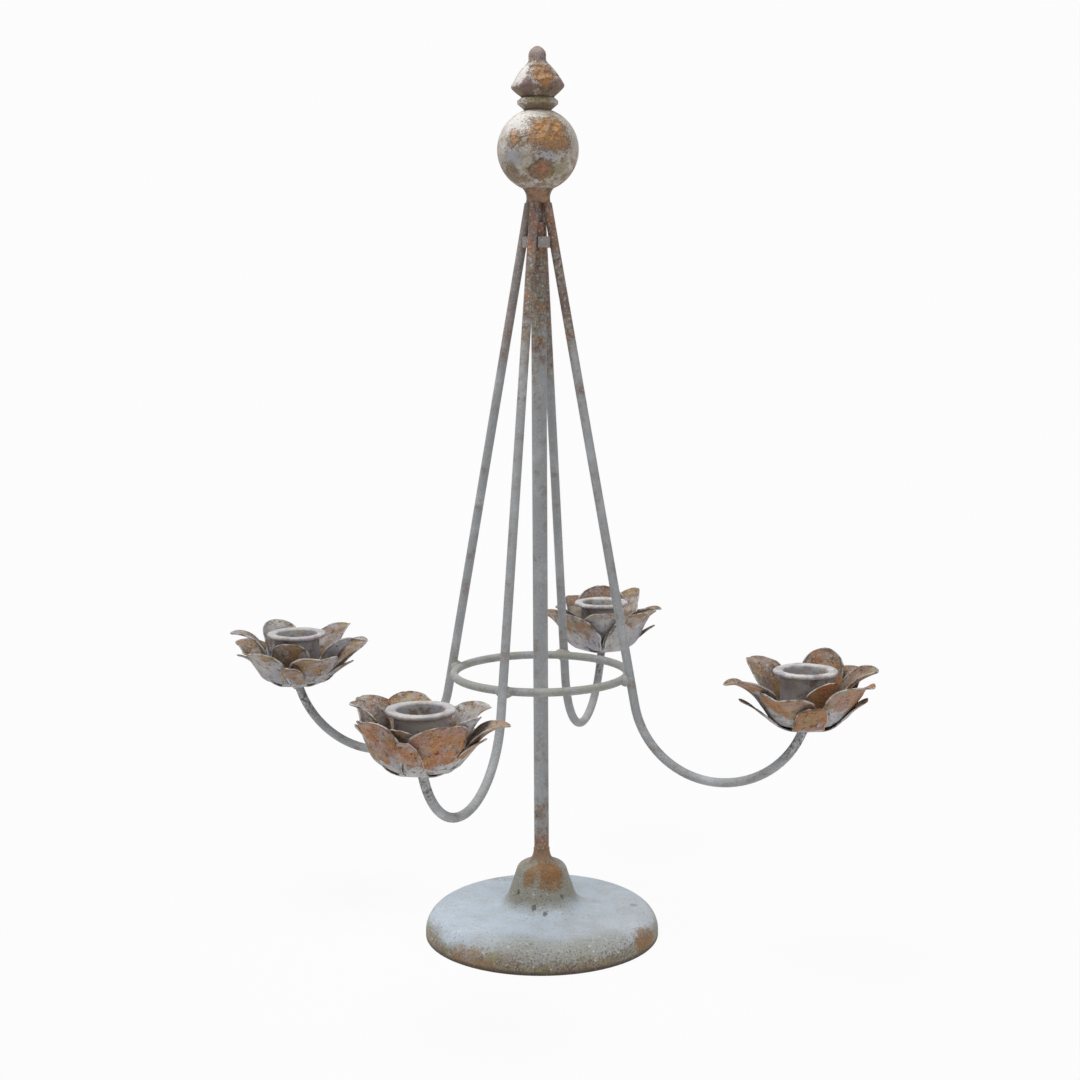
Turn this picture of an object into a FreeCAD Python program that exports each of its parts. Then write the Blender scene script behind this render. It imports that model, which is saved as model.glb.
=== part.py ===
# Table candle holder of welded steel: a domed foot, a straight pole with a ball finial and four bent arms,
# each with a flower that holds a candle cup. Millimetres, +Z up, the origin on the table under the pole.
import FreeCAD, Part
import math
import operator
import os
from types import SimpleNamespace

import Sketcher

# Driving dimensions: name, value
SIZES = {
    # Shared
    "fit_gap": 0.1,
    "cut_overrun": 20.0,
    # Base dish with its hub
    "base_radius": 64.0,
    "base_rim_height": 2.4,
    "base_rim_round": 12.3,
    "base_wall": 3.6,
    "plate_rise": 1.2,
    "hub_foot_radius": 27.0,
    "hub_foot_round": 11.0,
    "hub_flank_radius": 18.0,
    "hub_flank_height": 23.5,
    "hub_neck_radius": 13.8,
    "hub_neck_height": 36.0,
    "hub_shoulder_round": 6.1,
    "hub_top_radius": 8.6,
    "hub_height": 40.4,
    "hub_top_wall": 7.4,
    # Pole with its stud, and its fastening under the hub
    "pole_diameter": 8.0,
    "pole_shoulder_height": 386.0,
    "pole_end_below_nut": 2.4,
    "stud_diameter": 5.0,
    "stud_depth_in_tip": 12.0,
    "washer_diameter": 16.0,
    "washer_thickness": 1.6,
    "nut_width": 13.0,
    "nut_height": 6.5,
    "pole_weld_radius": 7.4,
    "pole_weld_height": 7.6,
    "pole_weld_edge": 0.4,
    "pole_weld_hollow": 9.5,
    # Arms and hoop
    "rod_diameter": 4.8,
    "rod_top_height": 396.0,
    "hoop_radius": 46.8,
    "hoop_wire": 4.4,
    "hoop_height": 146.0,
    "arm_low_reach": 99.0,
    "arm_low_height": 95.3,
    "flower_reach": 146.0,
    "flower_seat_height": 130.4,
    "tie_height": 373.0,
    "tie_thickness": 5.6,
    "tie_radius": 8.4,
    "hoop_weld_length": 5.2,
    "hoop_weld_depth": 3.6,
    "flower_weld_radius": 5.4,
    "flower_weld_height": 3.4,
    # Neck and finial
    "neck_low_radius": 6.5,
    "neck_top_radius": 8.0,
    "neck_hollow": 7.5,
    "ball_radius": 21.2,
    "ball_height": 423.0,
    "ball_wall": 1.6,
    "collar_seat_radius": 7.0,
    "collar_radius": 10.6,
    "collar_edge": 1.6,
    "collar_top_radius": 8.8,
    "collar_top_height": 449.2,
    "collar_edge_height": 446.2,
    "flute_radius": 1.5,
    "flute_circle_radius": 11.2,
    "tip_foot_radius": 8.4,
    "tip_brim_radius": 14.0,
    "tip_brim_height": 5.6,
    "tip_shoulder_radius": 11.7,
    "tip_shoulder_height": 10.4,
    "tip_waist_radius": 8.9,
    "tip_waist_height": 14.3,
    "tip_neck_radius": 5.0,
    "tip_neck_height": 18.2,
    "tip_corner": 1.9,
    "knob_foot_radius": 3.9,
    "knob_radius": 4.5,
    "knob_middle_height": 21.7,
    "knob_side_round": 4.4,
    "tip_turn": 11.4,
    # Candle cup
    "cup_bore_radius": 11.5,
    "cup_wall": 1.2,
    "cup_height": 26.6,
    "cup_corner": 5.0,
    "cup_rim_radius": 16.5,
    "cup_lip": 2.2,
    "cup_lip_hollow": 2.4,
    "cup_edge": 1.2,
    "rivet_diameter": 3.0,
    "rivet_head_radius": 3.6,
    "rivet_head_height": 1.6,
    # Rosettes: three stamped sheets in each flower
    "petal_sheet": 0.8,
    # Lower rosette of narrow leaves
    "leaf_flat_radius": 10.6,
    "leaf_bend": 3.0,
    "leaf_slope": 35.0,
    "leaf_flare": 40.0,
    "leaf_tip_slope": 29.0,
    "leaf_tip_radius": 34.5,
    "leaf_slit_root": 10.8,
    "leaf_slit": 1.0,
    "leaf_shoulder_radius": 12.9,
    "leaf_edge_round": 30.0,
    "leaf_tip_width": 4.6,
    # Outer rosette
    "outer_flat_radius": 9.5,
    "outer_bend": 4.0,
    "outer_slope": 45.0,
    "outer_flare": 19.0,
    "outer_tip_slope": 10.0,
    "outer_tip_radius": 41.0,
    "outer_slit_root": 13.5,
    "outer_slit": 0.9,
    "outer_shoulder_radius": 20.5,
    "outer_edge_round": 20.0,
    "outer_tip_width": 2.4,
    # Inner rosette
    "inner_flat_radius": 7.7,
    "inner_bend": 5.4,
    "inner_slope": 54.0,
    "inner_flare": 20.0,
    "inner_tip_slope": 6.0,
    "inner_tip_radius": 39.0,
    "inner_slit_root": 13.2,
    "inner_slit": 0.9,
    "inner_shoulder_radius": 20.0,
    "inner_edge_round": 19.0,
    "inner_tip_width": 2.4,
    # The angle of each arm about the pole, in degrees
    "arm_angle_right": 356.5,
    "arm_angle_back": 94.0,
    "arm_angle_left": 180.0,
    "arm_angle_front": 266.5,
    # The angle of one petal of each rosette, in degrees
    "leaf_turn_right": 71.0,
    "leaf_turn_back": 20.0,
    "leaf_turn_left": 1.0,
    "leaf_turn_front": 63.0,
    "outer_turn_right": 43.0,
    "outer_turn_back": 37.0,
    "outer_turn_left": 32.0,
    "outer_turn_front": 16.0,
    "inner_turn_right": 7.0,
    "inner_turn_back": 1.0,
    "inner_turn_left": 68.0,
    "inner_turn_front": 52.0,
}

# The arms, as seen from the front right
ARMS = ("right", "back", "left", "front")
PETAL_COUNT = 5
# The rosettes of a flower from the lowest up: the name of the piece and of its sizes
ROSETTES = {"lower_leaves": "leaf", "outer_petals": "outer", "inner_petals": "inner"}
FLUTE_COUNT = 10
NUT_SIDES = 6

OPERATIONS = {"+": operator.add, "-": operator.sub, "*": operator.mul, "/": operator.truediv}


class Size:
    """A number together with the sheet expression that gives it."""

    def __init__(self, value, text):
        self.value = value
        self.text = text

    def __add__(self, other):
        return combine(self, "+", other)

    def __radd__(self, other):
        return combine(other, "+", self)

    def __sub__(self, other):
        return combine(self, "-", other)

    def __rsub__(self, other):
        return combine(other, "-", self)

    def __mul__(self, other):
        return combine(self, "*", other)

    def __rmul__(self, other):
        return combine(other, "*", self)

    def __truediv__(self, other):
        return combine(self, "/", other)

    def __neg__(self):
        return combine(0, "-", self)


def as_size(number):
    return number if isinstance(number, Size) else Size(float(number), f"{float(number)!r}")


def combine(left, sign, right):
    first = as_size(left)
    second = as_size(right)
    value = OPERATIONS[sign](first.value, second.value)
    return Size(value, f"({first.text} {sign} {second.text})")


def sine(angle):
    angle = as_size(angle)
    return Size(math.sin(math.radians(angle.value)), f"sin({angle.text})")


def cosine(angle):
    angle = as_size(angle)
    return Size(math.cos(math.radians(angle.value)), f"cos({angle.text})")


def root(number):
    return Size(math.sqrt(number.value), f"sqrt({number.text})")


def beside(hypotenuse, side):
    """The other short side of a right triangle."""
    return root(hypotenuse * hypotenuse - side * side)


doc = FreeCAD.newDocument("CandleHolder")
sheet = doc.addObject("Spreadsheet::Sheet", "Sizes")
dim = SimpleNamespace()
for row, (size_name, size_value) in enumerate(SIZES.items(), start=1):
    sheet.set(f"A{row}", size_name)
    sheet.set(f"B{row}", str(size_value))
    sheet.setAlias(f"B{row}", size_name)
    setattr(dim, size_name, Size(size_value, f"Sizes.{size_name}"))
doc.recompute()
sub_parts = []


def keep(piece, label):
    """Name a finished piece and put it on the list of sub-parts."""
    piece.Label = label
    sub_parts.append(piece)
    return piece


def bind(target, place, size):
    target.setExpression(place, as_size(size).text)


def new_body(label):
    body = doc.addObject("PartDesign::Body", f"{label}_body")
    return keep(body, label)


def origin_feature(body, role):
    return next(feature for feature in body.Origin.OriginFeatures if feature.Role == role)


def new_sketch(body, name, plane="XZ_Plane", lift=None):
    """A sketch on one of the body's origin planes, raised along the plane's normal by lift."""
    sketch = body.newObject("Sketcher::SketchObject", name)
    sketch.AttachmentSupport = [(origin_feature(body, plane), "")]
    sketch.MapMode = "FlatFace"
    if lift is not None:
        bind(sketch, "AttachmentOffset.Base.z", lift)
    return sketch


def add_bound(sketch, kind, geometry, point, size):
    """A sketch dimension that follows a size. A point of 0 stands for the whole edge."""
    size = as_size(size)
    place = (geometry, point) if point else (geometry,)
    index = sketch.addConstraint(Sketcher.Constraint(kind, *place, size.value))
    if "Sizes." in size.text:
        bind(sketch, f"Constraints[{index}]", size)


def arc_edge(start, end, radius, left_turn):
    """The shorter arc from start to end, which bends to the left or to the right."""
    middle = (start + end) / 2
    chord = end - start
    side = FreeCAD.Vector(-chord.y, chord.x, 0).normalize()
    rise = math.sqrt(max(radius ** 2 - (chord.Length / 2) ** 2, 0))
    centre = middle + side * (rise if left_turn else -rise)
    first, last = (start, end) if left_turn else (end, start)
    angles = [math.atan2(point.y - centre.y, point.x - centre.x) for point in (first, last)]
    circle = Part.Circle(centre, FreeCAD.Vector(0, 0, 1), radius)
    return Part.ArcOfCircle(circle, angles[0], angles[1])


def draw(sketch, points, closed=True):
    """A chain of lines and arcs. A point is (x, y), or (x, y, radius, turn) where an arc leads to it."""
    corners = [FreeCAD.Vector(as_size(point[0]).value, as_size(point[1]).value, 0) for point in points]
    count = len(points) if closed else len(points) - 1
    ends = []
    for number in range(count):
        start = corners[number]
        target = points[(number + 1) % len(points)]
        end = corners[(number + 1) % len(points)]
        if len(target) == 2:
            index = sketch.addGeometry(Part.LineSegment(start, end), False)
            ends.append((index, 1, 2))
            continue
        radius, turn = target[2:]
        left_turn = turn == "left"
        index = sketch.addGeometry(arc_edge(start, end, radius.value, left_turn), False)
        ends.append((index, 1, 2) if left_turn else (index, 2, 1))
        add_bound(sketch, "Radius", index, 0, radius)
    for number, (index, first, last) in enumerate(ends):
        add_bound(sketch, "DistanceX", index, first, points[number][0])
        add_bound(sketch, "DistanceY", index, first, points[number][1])
        if closed or number + 1 < count:
            following = ends[(number + 1) % count]
            sketch.addConstraint(Sketcher.Constraint("Coincident", index, last, following[0], following[1]))
        else:
            add_bound(sketch, "DistanceX", index, last, points[-1][0])
            add_bound(sketch, "DistanceY", index, last, points[-1][1])
    return sketch


def draw_circle(sketch, radius, centre_x=0, centre_y=0):
    centre = FreeCAD.Vector(as_size(centre_x).value, as_size(centre_y).value, 0)
    index = sketch.addGeometry(Part.Circle(centre, FreeCAD.Vector(0, 0, 1), as_size(radius).value), False)
    add_bound(sketch, "DistanceX", index, 3, centre_x)
    add_bound(sketch, "DistanceY", index, 3, centre_y)
    add_bound(sketch, "Radius", index, 0, radius)
    return sketch


def revolve(body, points, name="Revolution"):
    """Turn a closed outline of (radius, height) points about the body's Z axis."""
    sketch = draw(new_sketch(body, f"{name}Outline"), points)
    feature = body.newObject("PartDesign::Revolution", name)
    feature.Profile = sketch
    feature.ReferenceAxis = (origin_feature(body, "Z_Axis"), [""])
    feature.Angle = 360.0
    doc.recompute()
    return feature


def pad(body, sketch, length, name="Pad"):
    feature = body.newObject("PartDesign::Pad", name)
    feature.Profile = sketch
    bind(feature, "Length", length)
    doc.recompute()
    return feature


def pocket(body, sketch, length, upward, name="Pocket"):
    """Cut from the sketch's plane up or down, and make sure that the cut took something away."""
    before = body.Shape.Volume
    feature = body.newObject("PartDesign::Pocket", name)
    feature.Profile = sketch
    feature.Reversed = upward
    bind(feature, "Length", length)
    doc.recompute()
    if not body.Shape.Volume < before:
        raise RuntimeError(f"{body.Label}: {name} cuts nothing")
    return feature


def repeat(body, feature, count, name="PolarPattern"):
    """Repeat a feature evenly about the body's Z axis."""
    pattern = body.newObject("PartDesign::PolarPattern", name)
    pattern.Originals = [feature]
    pattern.Axis = (origin_feature(body, "Z_Axis"), [""])
    pattern.Angle = 360.0
    pattern.Occurrences = count
    body.Tip = pattern
    doc.recompute()
    return pattern


def turn_upright(piece, angle):
    """Turn a piece about the pole, or about its own upright axis once it is moved."""
    turn = FreeCAD.Rotation(FreeCAD.Vector(0, 0, 1), angle.value)
    piece.Placement = FreeCAD.Placement(FreeCAD.Vector(0, 0, 0), turn)
    bind(piece, "Placement.Rotation.Angle", angle)


def move_along_arm(piece, arm, reach):
    """Move a piece out from the pole in the direction of an arm."""
    bind(piece, "Placement.Base.x", reach * cosine(arm_angle[arm]))
    bind(piece, "Placement.Base.y", reach * sine(arm_angle[arm]))


def draw_circle_on_each_arm(sketch, radius, reach):
    for angle in arm_angle.values():
        draw_circle(sketch, radius, reach * cosine(angle), reach * sine(angle))
    return sketch


# Sizes that several pieces share
arm_angle = {arm: getattr(dim, f"arm_angle_{arm}") for arm in ARMS}
pole_radius = dim.pole_diameter / 2
stud_radius = dim.stud_diameter / 2
rod_radius = dim.rod_diameter / 2
rod_top_reach = stud_radius + rod_radius + dim.fit_gap
arm_hoop_reach = dim.hoop_radius + dim.hoop_wire / 2 + rod_radius + dim.fit_gap
rod_run = arm_hoop_reach - rod_top_reach
rod_drop = dim.rod_top_height - dim.hoop_height
rod_length = root(rod_run * rod_run + rod_drop * rod_drop)
rod_lean_sine = rod_run / rod_length
rod_lean_cosine = rod_drop / rod_length
rod_spread = rod_run / rod_drop
hub_roof_height = dim.hub_height - dim.hub_top_wall
rosette_top_height = dim.flower_seat_height + len(ROSETTES) * dim.petal_sheet
rivet_radius = dim.rivet_diameter / 2
rivet_hole_radius = rivet_radius + dim.fit_gap
cup_radius = dim.cup_bore_radius + dim.cup_wall


# Base dish: a domed shell, open below, with a bell-shaped hub that takes the pole
def make_base_dish():
    body = new_body("base_dish")
    wall = dim.base_wall
    plate_edge = dim.base_radius - dim.base_rim_round
    plate_height = dim.base_rim_height + dim.base_rim_round
    hub_foot_height = plate_height + dim.plate_rise
    pole_hole = pole_radius + dim.fit_gap
    inner_round = dim.base_rim_round - wall
    revolve(body, [
        (dim.base_radius - wall, 0),
        (dim.base_radius, 0),
        (dim.base_radius, dim.base_rim_height),
        (plate_edge, plate_height, dim.base_rim_round, "left"),
        (dim.hub_foot_radius, hub_foot_height),
        (dim.hub_flank_radius, dim.hub_flank_height, dim.hub_foot_round, "right"),
        (dim.hub_neck_radius, dim.hub_neck_height),
        (dim.hub_top_radius, dim.hub_height, dim.hub_shoulder_round, "left"),
        (pole_hole, dim.hub_height),
        (pole_hole, hub_roof_height),
        (dim.hub_neck_radius - wall, hub_roof_height),
        (dim.hub_flank_radius - wall, dim.hub_flank_height - wall / 2),
        (dim.hub_foot_radius - wall / 2, hub_foot_height - wall, dim.hub_foot_round + wall, "left"),
        (plate_edge, plate_height - wall),
        (dim.base_radius - wall, dim.base_rim_height, inner_round, "right"),
    ])
    return body


# Pole: a round rod with a threaded foot, and a stud on top that carries the finial
def make_pole():
    body = new_body("pole")
    foot = hub_roof_height - dim.washer_thickness - dim.nut_height - dim.pole_end_below_nut
    stud_top = dim.collar_top_height + dim.stud_depth_in_tip
    revolve(body, [
        (0, foot),
        (pole_radius, foot),
        (pole_radius, dim.pole_shoulder_height),
        (stud_radius, dim.pole_shoulder_height),
        (stud_radius, stud_top),
        (0, stud_top),
    ])
    return body


# Washer and nut under the hub's roof
def make_base_washer():
    body = new_body("base_washer")
    hole = pole_radius + dim.fit_gap
    revolve(body, [
        (hole, hub_roof_height - dim.washer_thickness),
        (dim.washer_diameter / 2, hub_roof_height - dim.washer_thickness),
        (dim.washer_diameter / 2, hub_roof_height),
        (hole, hub_roof_height),
    ])
    return body


def make_base_nut():
    body = new_body("base_nut")
    underside = hub_roof_height - dim.washer_thickness - dim.nut_height
    corner = dim.nut_width / 2 / cosine(180 / NUT_SIDES)
    angles = [360 / NUT_SIDES * side for side in range(NUT_SIDES)]
    sketch = new_sketch(body, "Hexagon", "XY_Plane", underside)
    draw(sketch, [(corner * cosine(angle), corner * sine(angle)) for angle in angles])
    draw_circle(sketch, pole_radius + dim.fit_gap)
    pad(body, sketch, dim.nut_height)
    return body


# Weld round the pole on top of the hub
def make_pole_weld():
    body = new_body("pole_weld")
    top = dim.hub_height + dim.pole_weld_height
    revolve(body, [
        (pole_radius, dim.hub_height),
        (dim.pole_weld_radius, dim.hub_height),
        (pole_radius + dim.pole_weld_edge, top, dim.pole_weld_hollow, "right"),
        (pole_radius, top),
    ])
    return body


# Arms: each runs straight down a cone from the neck, then bends out and up in a J to its flower
def make_arm(arm):
    body = new_body(f"arm_{arm}")
    spread = rod_lean_cosine - (1 - rod_lean_sine) * rod_spread
    fall = dim.hoop_height - dim.arm_low_height
    drop_round = (dim.arm_low_reach - arm_hoop_reach - fall * rod_spread) / spread
    run = dim.flower_reach - dim.arm_low_reach
    rise = dim.flower_seat_height - dim.arm_low_height
    lift_round = (run * run + rise * rise) / (2 * rise)
    over = dim.rod_diameter
    bend_reach = dim.arm_low_reach - drop_round * rod_lean_cosine
    bend_height = dim.arm_low_height + drop_round * (1 - rod_lean_sine)
    end_reach = dim.flower_reach + over * (lift_round - rise) / lift_round
    end_height = dim.flower_seat_height + over * run / lift_round
    path = new_sketch(body, "Path")
    draw(path, [
        (rod_top_reach - over * rod_lean_sine, dim.rod_top_height + over * rod_lean_cosine),
        (bend_reach, bend_height),
        (dim.arm_low_reach, dim.arm_low_height, drop_round, "left"),
        (dim.flower_reach, dim.flower_seat_height, lift_round, "left"),
        (end_reach, end_height),
    ], closed=False)
    section = body.newObject("Sketcher::SketchObject", "Section")
    section.AttachmentSupport = [(path, "Edge1")]
    section.MapMode = "NormalToEdge"
    draw_circle(section, rod_radius)
    doc.recompute()
    pipe = body.newObject("PartDesign::AdditivePipe", "Rod")
    pipe.Profile = section
    pipe.Spine = (path, [f"Edge{number + 1}" for number in range(path.GeometryCount)])
    doc.recompute()
    square_off(body, "TopEnd", rod_top_reach, dim.rod_top_height)
    square_off(body, "FlowerEnd", dim.flower_reach, dim.flower_seat_height)
    turn_upright(body, arm_angle[arm])
    return body


def square_off(body, name, reach, height):
    """Cut a rod's end level."""
    half = 2 * dim.rod_diameter
    sketch = new_sketch(body, f"{name}Cut", "XY_Plane", height)
    draw(sketch, [(reach - half, -half), (reach + half, -half), (reach + half, half), (reach - half, half)])
    pocket(body, sketch, 2 * dim.rod_diameter, True, name)


# Hoop: a wire ring that the arms are welded round
def make_hoop():
    hoop = doc.addObject("Part::Torus", "hoop_torus")
    bind(hoop, "Radius1", dim.hoop_radius)
    bind(hoop, "Radius2", dim.hoop_wire / 2)
    bind(hoop, "Placement.Base.z", dim.hoop_height)
    return keep(hoop, "hoop")


# Tie collar: a ring on the pole, notched for the four rods
def make_tie_collar():
    body = new_body("tie_collar")
    top = dim.tie_height + dim.tie_thickness
    ring = new_sketch(body, "Ring", "XY_Plane", dim.tie_height)
    draw_circle(ring, dim.tie_radius)
    draw_circle(ring, pole_radius + dim.fit_gap)
    pad(body, ring, dim.tie_thickness)
    middle_reach = rod_top_reach + (dim.rod_top_height - dim.tie_height - dim.tie_thickness / 2) * rod_spread
    notch_radius = rod_radius / rod_lean_cosine + dim.tie_thickness / 2 * rod_spread + dim.fit_gap
    notches = new_sketch(body, "Notches", "XY_Plane", top)
    pocket(body, draw_circle_on_each_arm(notches, notch_radius, middle_reach), dim.tie_thickness, False)
    return body


# Neck collar: a short flared piece on the rods' tops, hollowed above to seat the ball
def make_neck_collar():
    body = new_body("neck_collar")
    hole = stud_radius + dim.fit_gap
    seat_radius = dim.ball_radius + dim.fit_gap
    neck_top_height = dim.ball_height - beside(seat_radius, dim.neck_top_radius)
    revolve(body, [
        (hole, dim.rod_top_height),
        (dim.neck_low_radius, dim.rod_top_height),
        (dim.neck_top_radius, neck_top_height, dim.neck_hollow, "right"),
        (hole, dim.ball_height - beside(seat_radius, hole), seat_radius, "right"),
    ])
    return body


# Finial ball: a hollow sphere, pierced top and bottom for the stud
def make_finial_ball():
    body = new_body("finial_ball")
    hole = stud_radius + dim.fit_gap
    inner = dim.ball_radius - dim.ball_wall
    outer_rise = beside(dim.ball_radius, hole)
    inner_rise = beside(inner, hole)
    revolve(body, [
        (hole, dim.ball_height - outer_rise),
        (dim.ball_radius, dim.ball_height, dim.ball_radius, "left"),
        (hole, dim.ball_height + outer_rise, dim.ball_radius, "left"),
        (hole, dim.ball_height + inner_rise),
        (inner, dim.ball_height, inner, "right"),
        (hole, dim.ball_height - inner_rise, inner, "right"),
    ])
    return body


# Finial collar: a fluted ring between ball and tip
def make_finial_collar():
    body = new_body("finial_collar")
    hole = stud_radius + dim.fit_gap
    seat_radius = dim.ball_radius + dim.fit_gap
    seat_edge_height = dim.ball_height + beside(seat_radius, dim.collar_seat_radius)
    revolve(body, [
        (hole, dim.ball_height + beside(seat_radius, hole)),
        (dim.collar_seat_radius, seat_edge_height, seat_radius, "right"),
        (dim.collar_radius, dim.collar_edge_height),
        (dim.collar_radius, dim.collar_edge_height + dim.collar_edge),
        (dim.collar_top_radius, dim.collar_top_height),
        (hole, dim.collar_top_height),
    ])
    sketch = new_sketch(body, "Flute", "XY_Plane", dim.collar_top_height)
    draw_circle(sketch, dim.flute_radius, dim.flute_circle_radius)
    flute = pocket(body, sketch, dim.cut_overrun, False)
    repeat(body, flute, FLUTE_COUNT)
    return body


# Finial tip: a four-sided spear head with bell-shaped flanks and a round knob
def make_finial_tip():
    body = new_body("finial_tip")
    foot_height = dim.collar_top_height
    sections = [(dim.tip_foot_radius, 0), (dim.tip_brim_radius, dim.tip_brim_height),
                (dim.tip_shoulder_radius, dim.tip_shoulder_height),
                (dim.tip_waist_radius, dim.tip_waist_height), (dim.tip_neck_radius, dim.tip_neck_height)]
    sketches = []
    for number, (radius, rise) in enumerate(sections):
        sketch = new_sketch(body, f"Section{number}", "XY_Plane", foot_height + rise)
        corner = dim.tip_corner * radius / dim.tip_brim_radius
        draw(sketch, [(radius, corner), (corner, radius), (-corner, radius), (-radius, corner),
                      (-radius, -corner), (-corner, -radius), (corner, -radius), (radius, -corner)])
        sketches.append(sketch)
    for name, chosen, ruled in (("Foot", sketches[:2], True), ("Flanks", sketches[1:], False)):
        loft = body.newObject("PartDesign::AdditiveLoft", name)
        loft.Profile = chosen[0]
        loft.Sections = chosen[1:]
        loft.Ruled = ruled
        doc.recompute()
    knob_foot = foot_height + dim.tip_neck_height - dim.tip_corner
    knob_middle = foot_height + dim.knob_middle_height
    knob_top = knob_middle + dim.knob_radius
    revolve(body, [
        (0, knob_foot),
        (dim.knob_foot_radius, knob_foot),
        (dim.knob_radius, knob_middle, dim.knob_side_round, "left"),
        (0, knob_top, dim.knob_radius, "left"),
    ], "Knob")
    hole = new_sketch(body, "StudHole", "XY_Plane", foot_height)
    draw_circle(hole, stud_radius + dim.fit_gap)
    pocket(body, hole, dim.stud_depth_in_tip + dim.fit_gap, True, "Socket")
    turn_upright(body, dim.tip_turn)
    return body


# Rosettes: sheet discs, dished and slit into petals
def make_rosette(label, kind, seat_height):
    body = new_body(label)
    sheet_thickness = dim.petal_sheet
    flat = getattr(dim, f"{kind}_flat_radius")
    bend = getattr(dim, f"{kind}_bend")
    slope = getattr(dim, f"{kind}_slope")
    flare = getattr(dim, f"{kind}_flare")
    tip_slope = getattr(dim, f"{kind}_tip_slope")
    tip_radius = getattr(dim, f"{kind}_tip_radius")
    rise, run = sine(slope), cosine(slope)
    tip_rise, tip_run = sine(tip_slope), cosine(tip_slope)
    top = seat_height + sheet_thickness
    bend_outside = bend + sheet_thickness
    flare_inside = flare - sheet_thickness
    straight = (tip_radius - flat - bend * rise - flare * (rise - tip_rise)) / run
    bend_end = (flat + bend * rise, top + bend * (1 - run))
    under_end = (flat + bend_outside * rise, seat_height + bend_outside * (1 - run))
    flare_start = (bend_end[0] + straight * run, bend_end[1] + straight * rise)
    under_start = (under_end[0] + straight * run, under_end[1] + straight * rise)
    flare_run = rise - tip_rise
    flare_rise = tip_run - run
    flare_end = (flare_start[0] + flare * flare_run, flare_start[1] + flare * flare_rise)
    under_tip = (under_start[0] + flare_inside * flare_run, under_start[1] + flare_inside * flare_rise)
    revolve(body, [
        (rivet_hole_radius, seat_height),
        (flat, seat_height),
        (*under_end, bend_outside, "left"),
        under_start,
        (*under_tip, flare_inside, "right"),
        flare_end,
        (*flare_start, flare, "left"),
        bend_end,
        (flat, top, bend, "right"),
        (rivet_hole_radius, top),
    ])
    slit = getattr(dim, f"{kind}_slit") / 2
    slit_root = getattr(dim, f"{kind}_slit_root")
    shoulder = getattr(dim, f"{kind}_shoulder_radius")
    edge_round = getattr(dim, f"{kind}_edge_round")
    tip_half = getattr(dim, f"{kind}_tip_width") / 2
    half_angle = 180 / PETAL_COUNT
    side_x = tip_radius * cosine(half_angle) + tip_half * sine(half_angle)
    side_y = tip_radius * sine(half_angle) - tip_half * cosine(half_angle)
    outer_x = side_x + dim.cut_overrun * cosine(half_angle)
    outer_y = side_y + dim.cut_overrun * sine(half_angle)
    gap = new_sketch(body, "PetalGap", "XY_Plane", seat_height)
    draw(gap, [
        (slit_root, -slit),
        (shoulder, -slit),
        (side_x, -side_y, edge_round, "right"),
        (outer_x, -outer_y),
        (outer_x, outer_y),
        (side_x, side_y),
        (shoulder, slit, edge_round, "right"),
        (slit_root, slit),
    ])
    cut = pocket(body, gap, tip_radius, True)
    repeat(body, cut, PETAL_COUNT)
    return body


# Candle cup: a drawn cup with a thick turned rim, on the rosettes
def make_candle_cup(arm):
    body = new_body(f"candle_cup_{arm}")
    foot = rosette_top_height
    top = foot + dim.cup_height
    lip_round = dim.cup_lip / 2
    lip_middle = dim.cup_rim_radius - lip_round
    hollow_top = top - dim.cup_lip
    inner_corner = dim.cup_corner - dim.cup_wall
    flat = cup_radius - dim.cup_corner
    revolve(body, [
        (rivet_hole_radius, foot),
        (flat, foot),
        (cup_radius, foot + dim.cup_corner, dim.cup_corner, "left"),
        (cup_radius, hollow_top - dim.cup_lip_hollow),
        (cup_radius + dim.cup_lip_hollow, hollow_top, dim.cup_lip_hollow, "right"),
        (lip_middle, hollow_top),
        (dim.cup_rim_radius, hollow_top + lip_round, lip_round, "left"),
        (lip_middle, top, lip_round, "left"),
        (dim.cup_bore_radius + dim.cup_edge, top),
        (dim.cup_bore_radius, top - dim.cup_edge, dim.cup_edge, "left"),
        (dim.cup_bore_radius, foot + dim.cup_corner),
        (flat, foot + dim.cup_wall, inner_corner, "right"),
        (rivet_hole_radius, foot + dim.cup_wall),
    ])
    return body


# Rivets: one in each cup, through the cup's floor and the three rosettes
def make_cup_rivets():
    body = new_body("cup_rivets")
    seat = dim.flower_seat_height
    floor = rosette_top_height + dim.cup_wall
    shanks = new_sketch(body, "Shanks", "XY_Plane", seat)
    draw_circle_on_each_arm(shanks, rivet_radius, dim.flower_reach)
    pad(body, shanks, floor - seat, "ShankPad")
    heads = new_sketch(body, "Heads", "XY_Plane", floor)
    draw_circle_on_each_arm(heads, dim.rivet_head_radius, dim.flower_reach)
    pad(body, heads, dim.rivet_head_height, "HeadPad")
    return body


# Welds: lumps of weld metal, cut away where the welded rods pass through them
def make_weld_group(label, lumps, rods):
    lump_group = doc.addObject("Part::Compound", f"{label}_lumps")
    lump_group.Links = lumps
    rod_group = doc.addObject("Part::Compound", f"{label}_rods")
    rod_group.Links = rods
    weld = doc.addObject("Part::Cut", f"{label}_cut")
    weld.Base = lump_group
    weld.Tool = rod_group
    doc.recompute()
    return keep(weld, label)


def make_hoop_welds(arms, hoop):
    lumps = []
    touch = dim.hoop_radius + dim.hoop_wire / 2
    for arm in ARMS:
        lump = doc.addObject("Part::Ellipsoid", f"hoop_weld_{arm}")
        bind(lump, "Radius1", dim.hoop_weld_length)
        bind(lump, "Radius2", dim.hoop_weld_depth)
        bind(lump, "Radius3", dim.hoop_weld_length)
        turn_upright(lump, arm_angle[arm])
        move_along_arm(lump, arm, touch)
        bind(lump, "Placement.Base.z", dim.hoop_height)
        lumps.append(lump)
    return make_weld_group("hoop_welds", lumps, [*arms, hoop])


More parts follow.
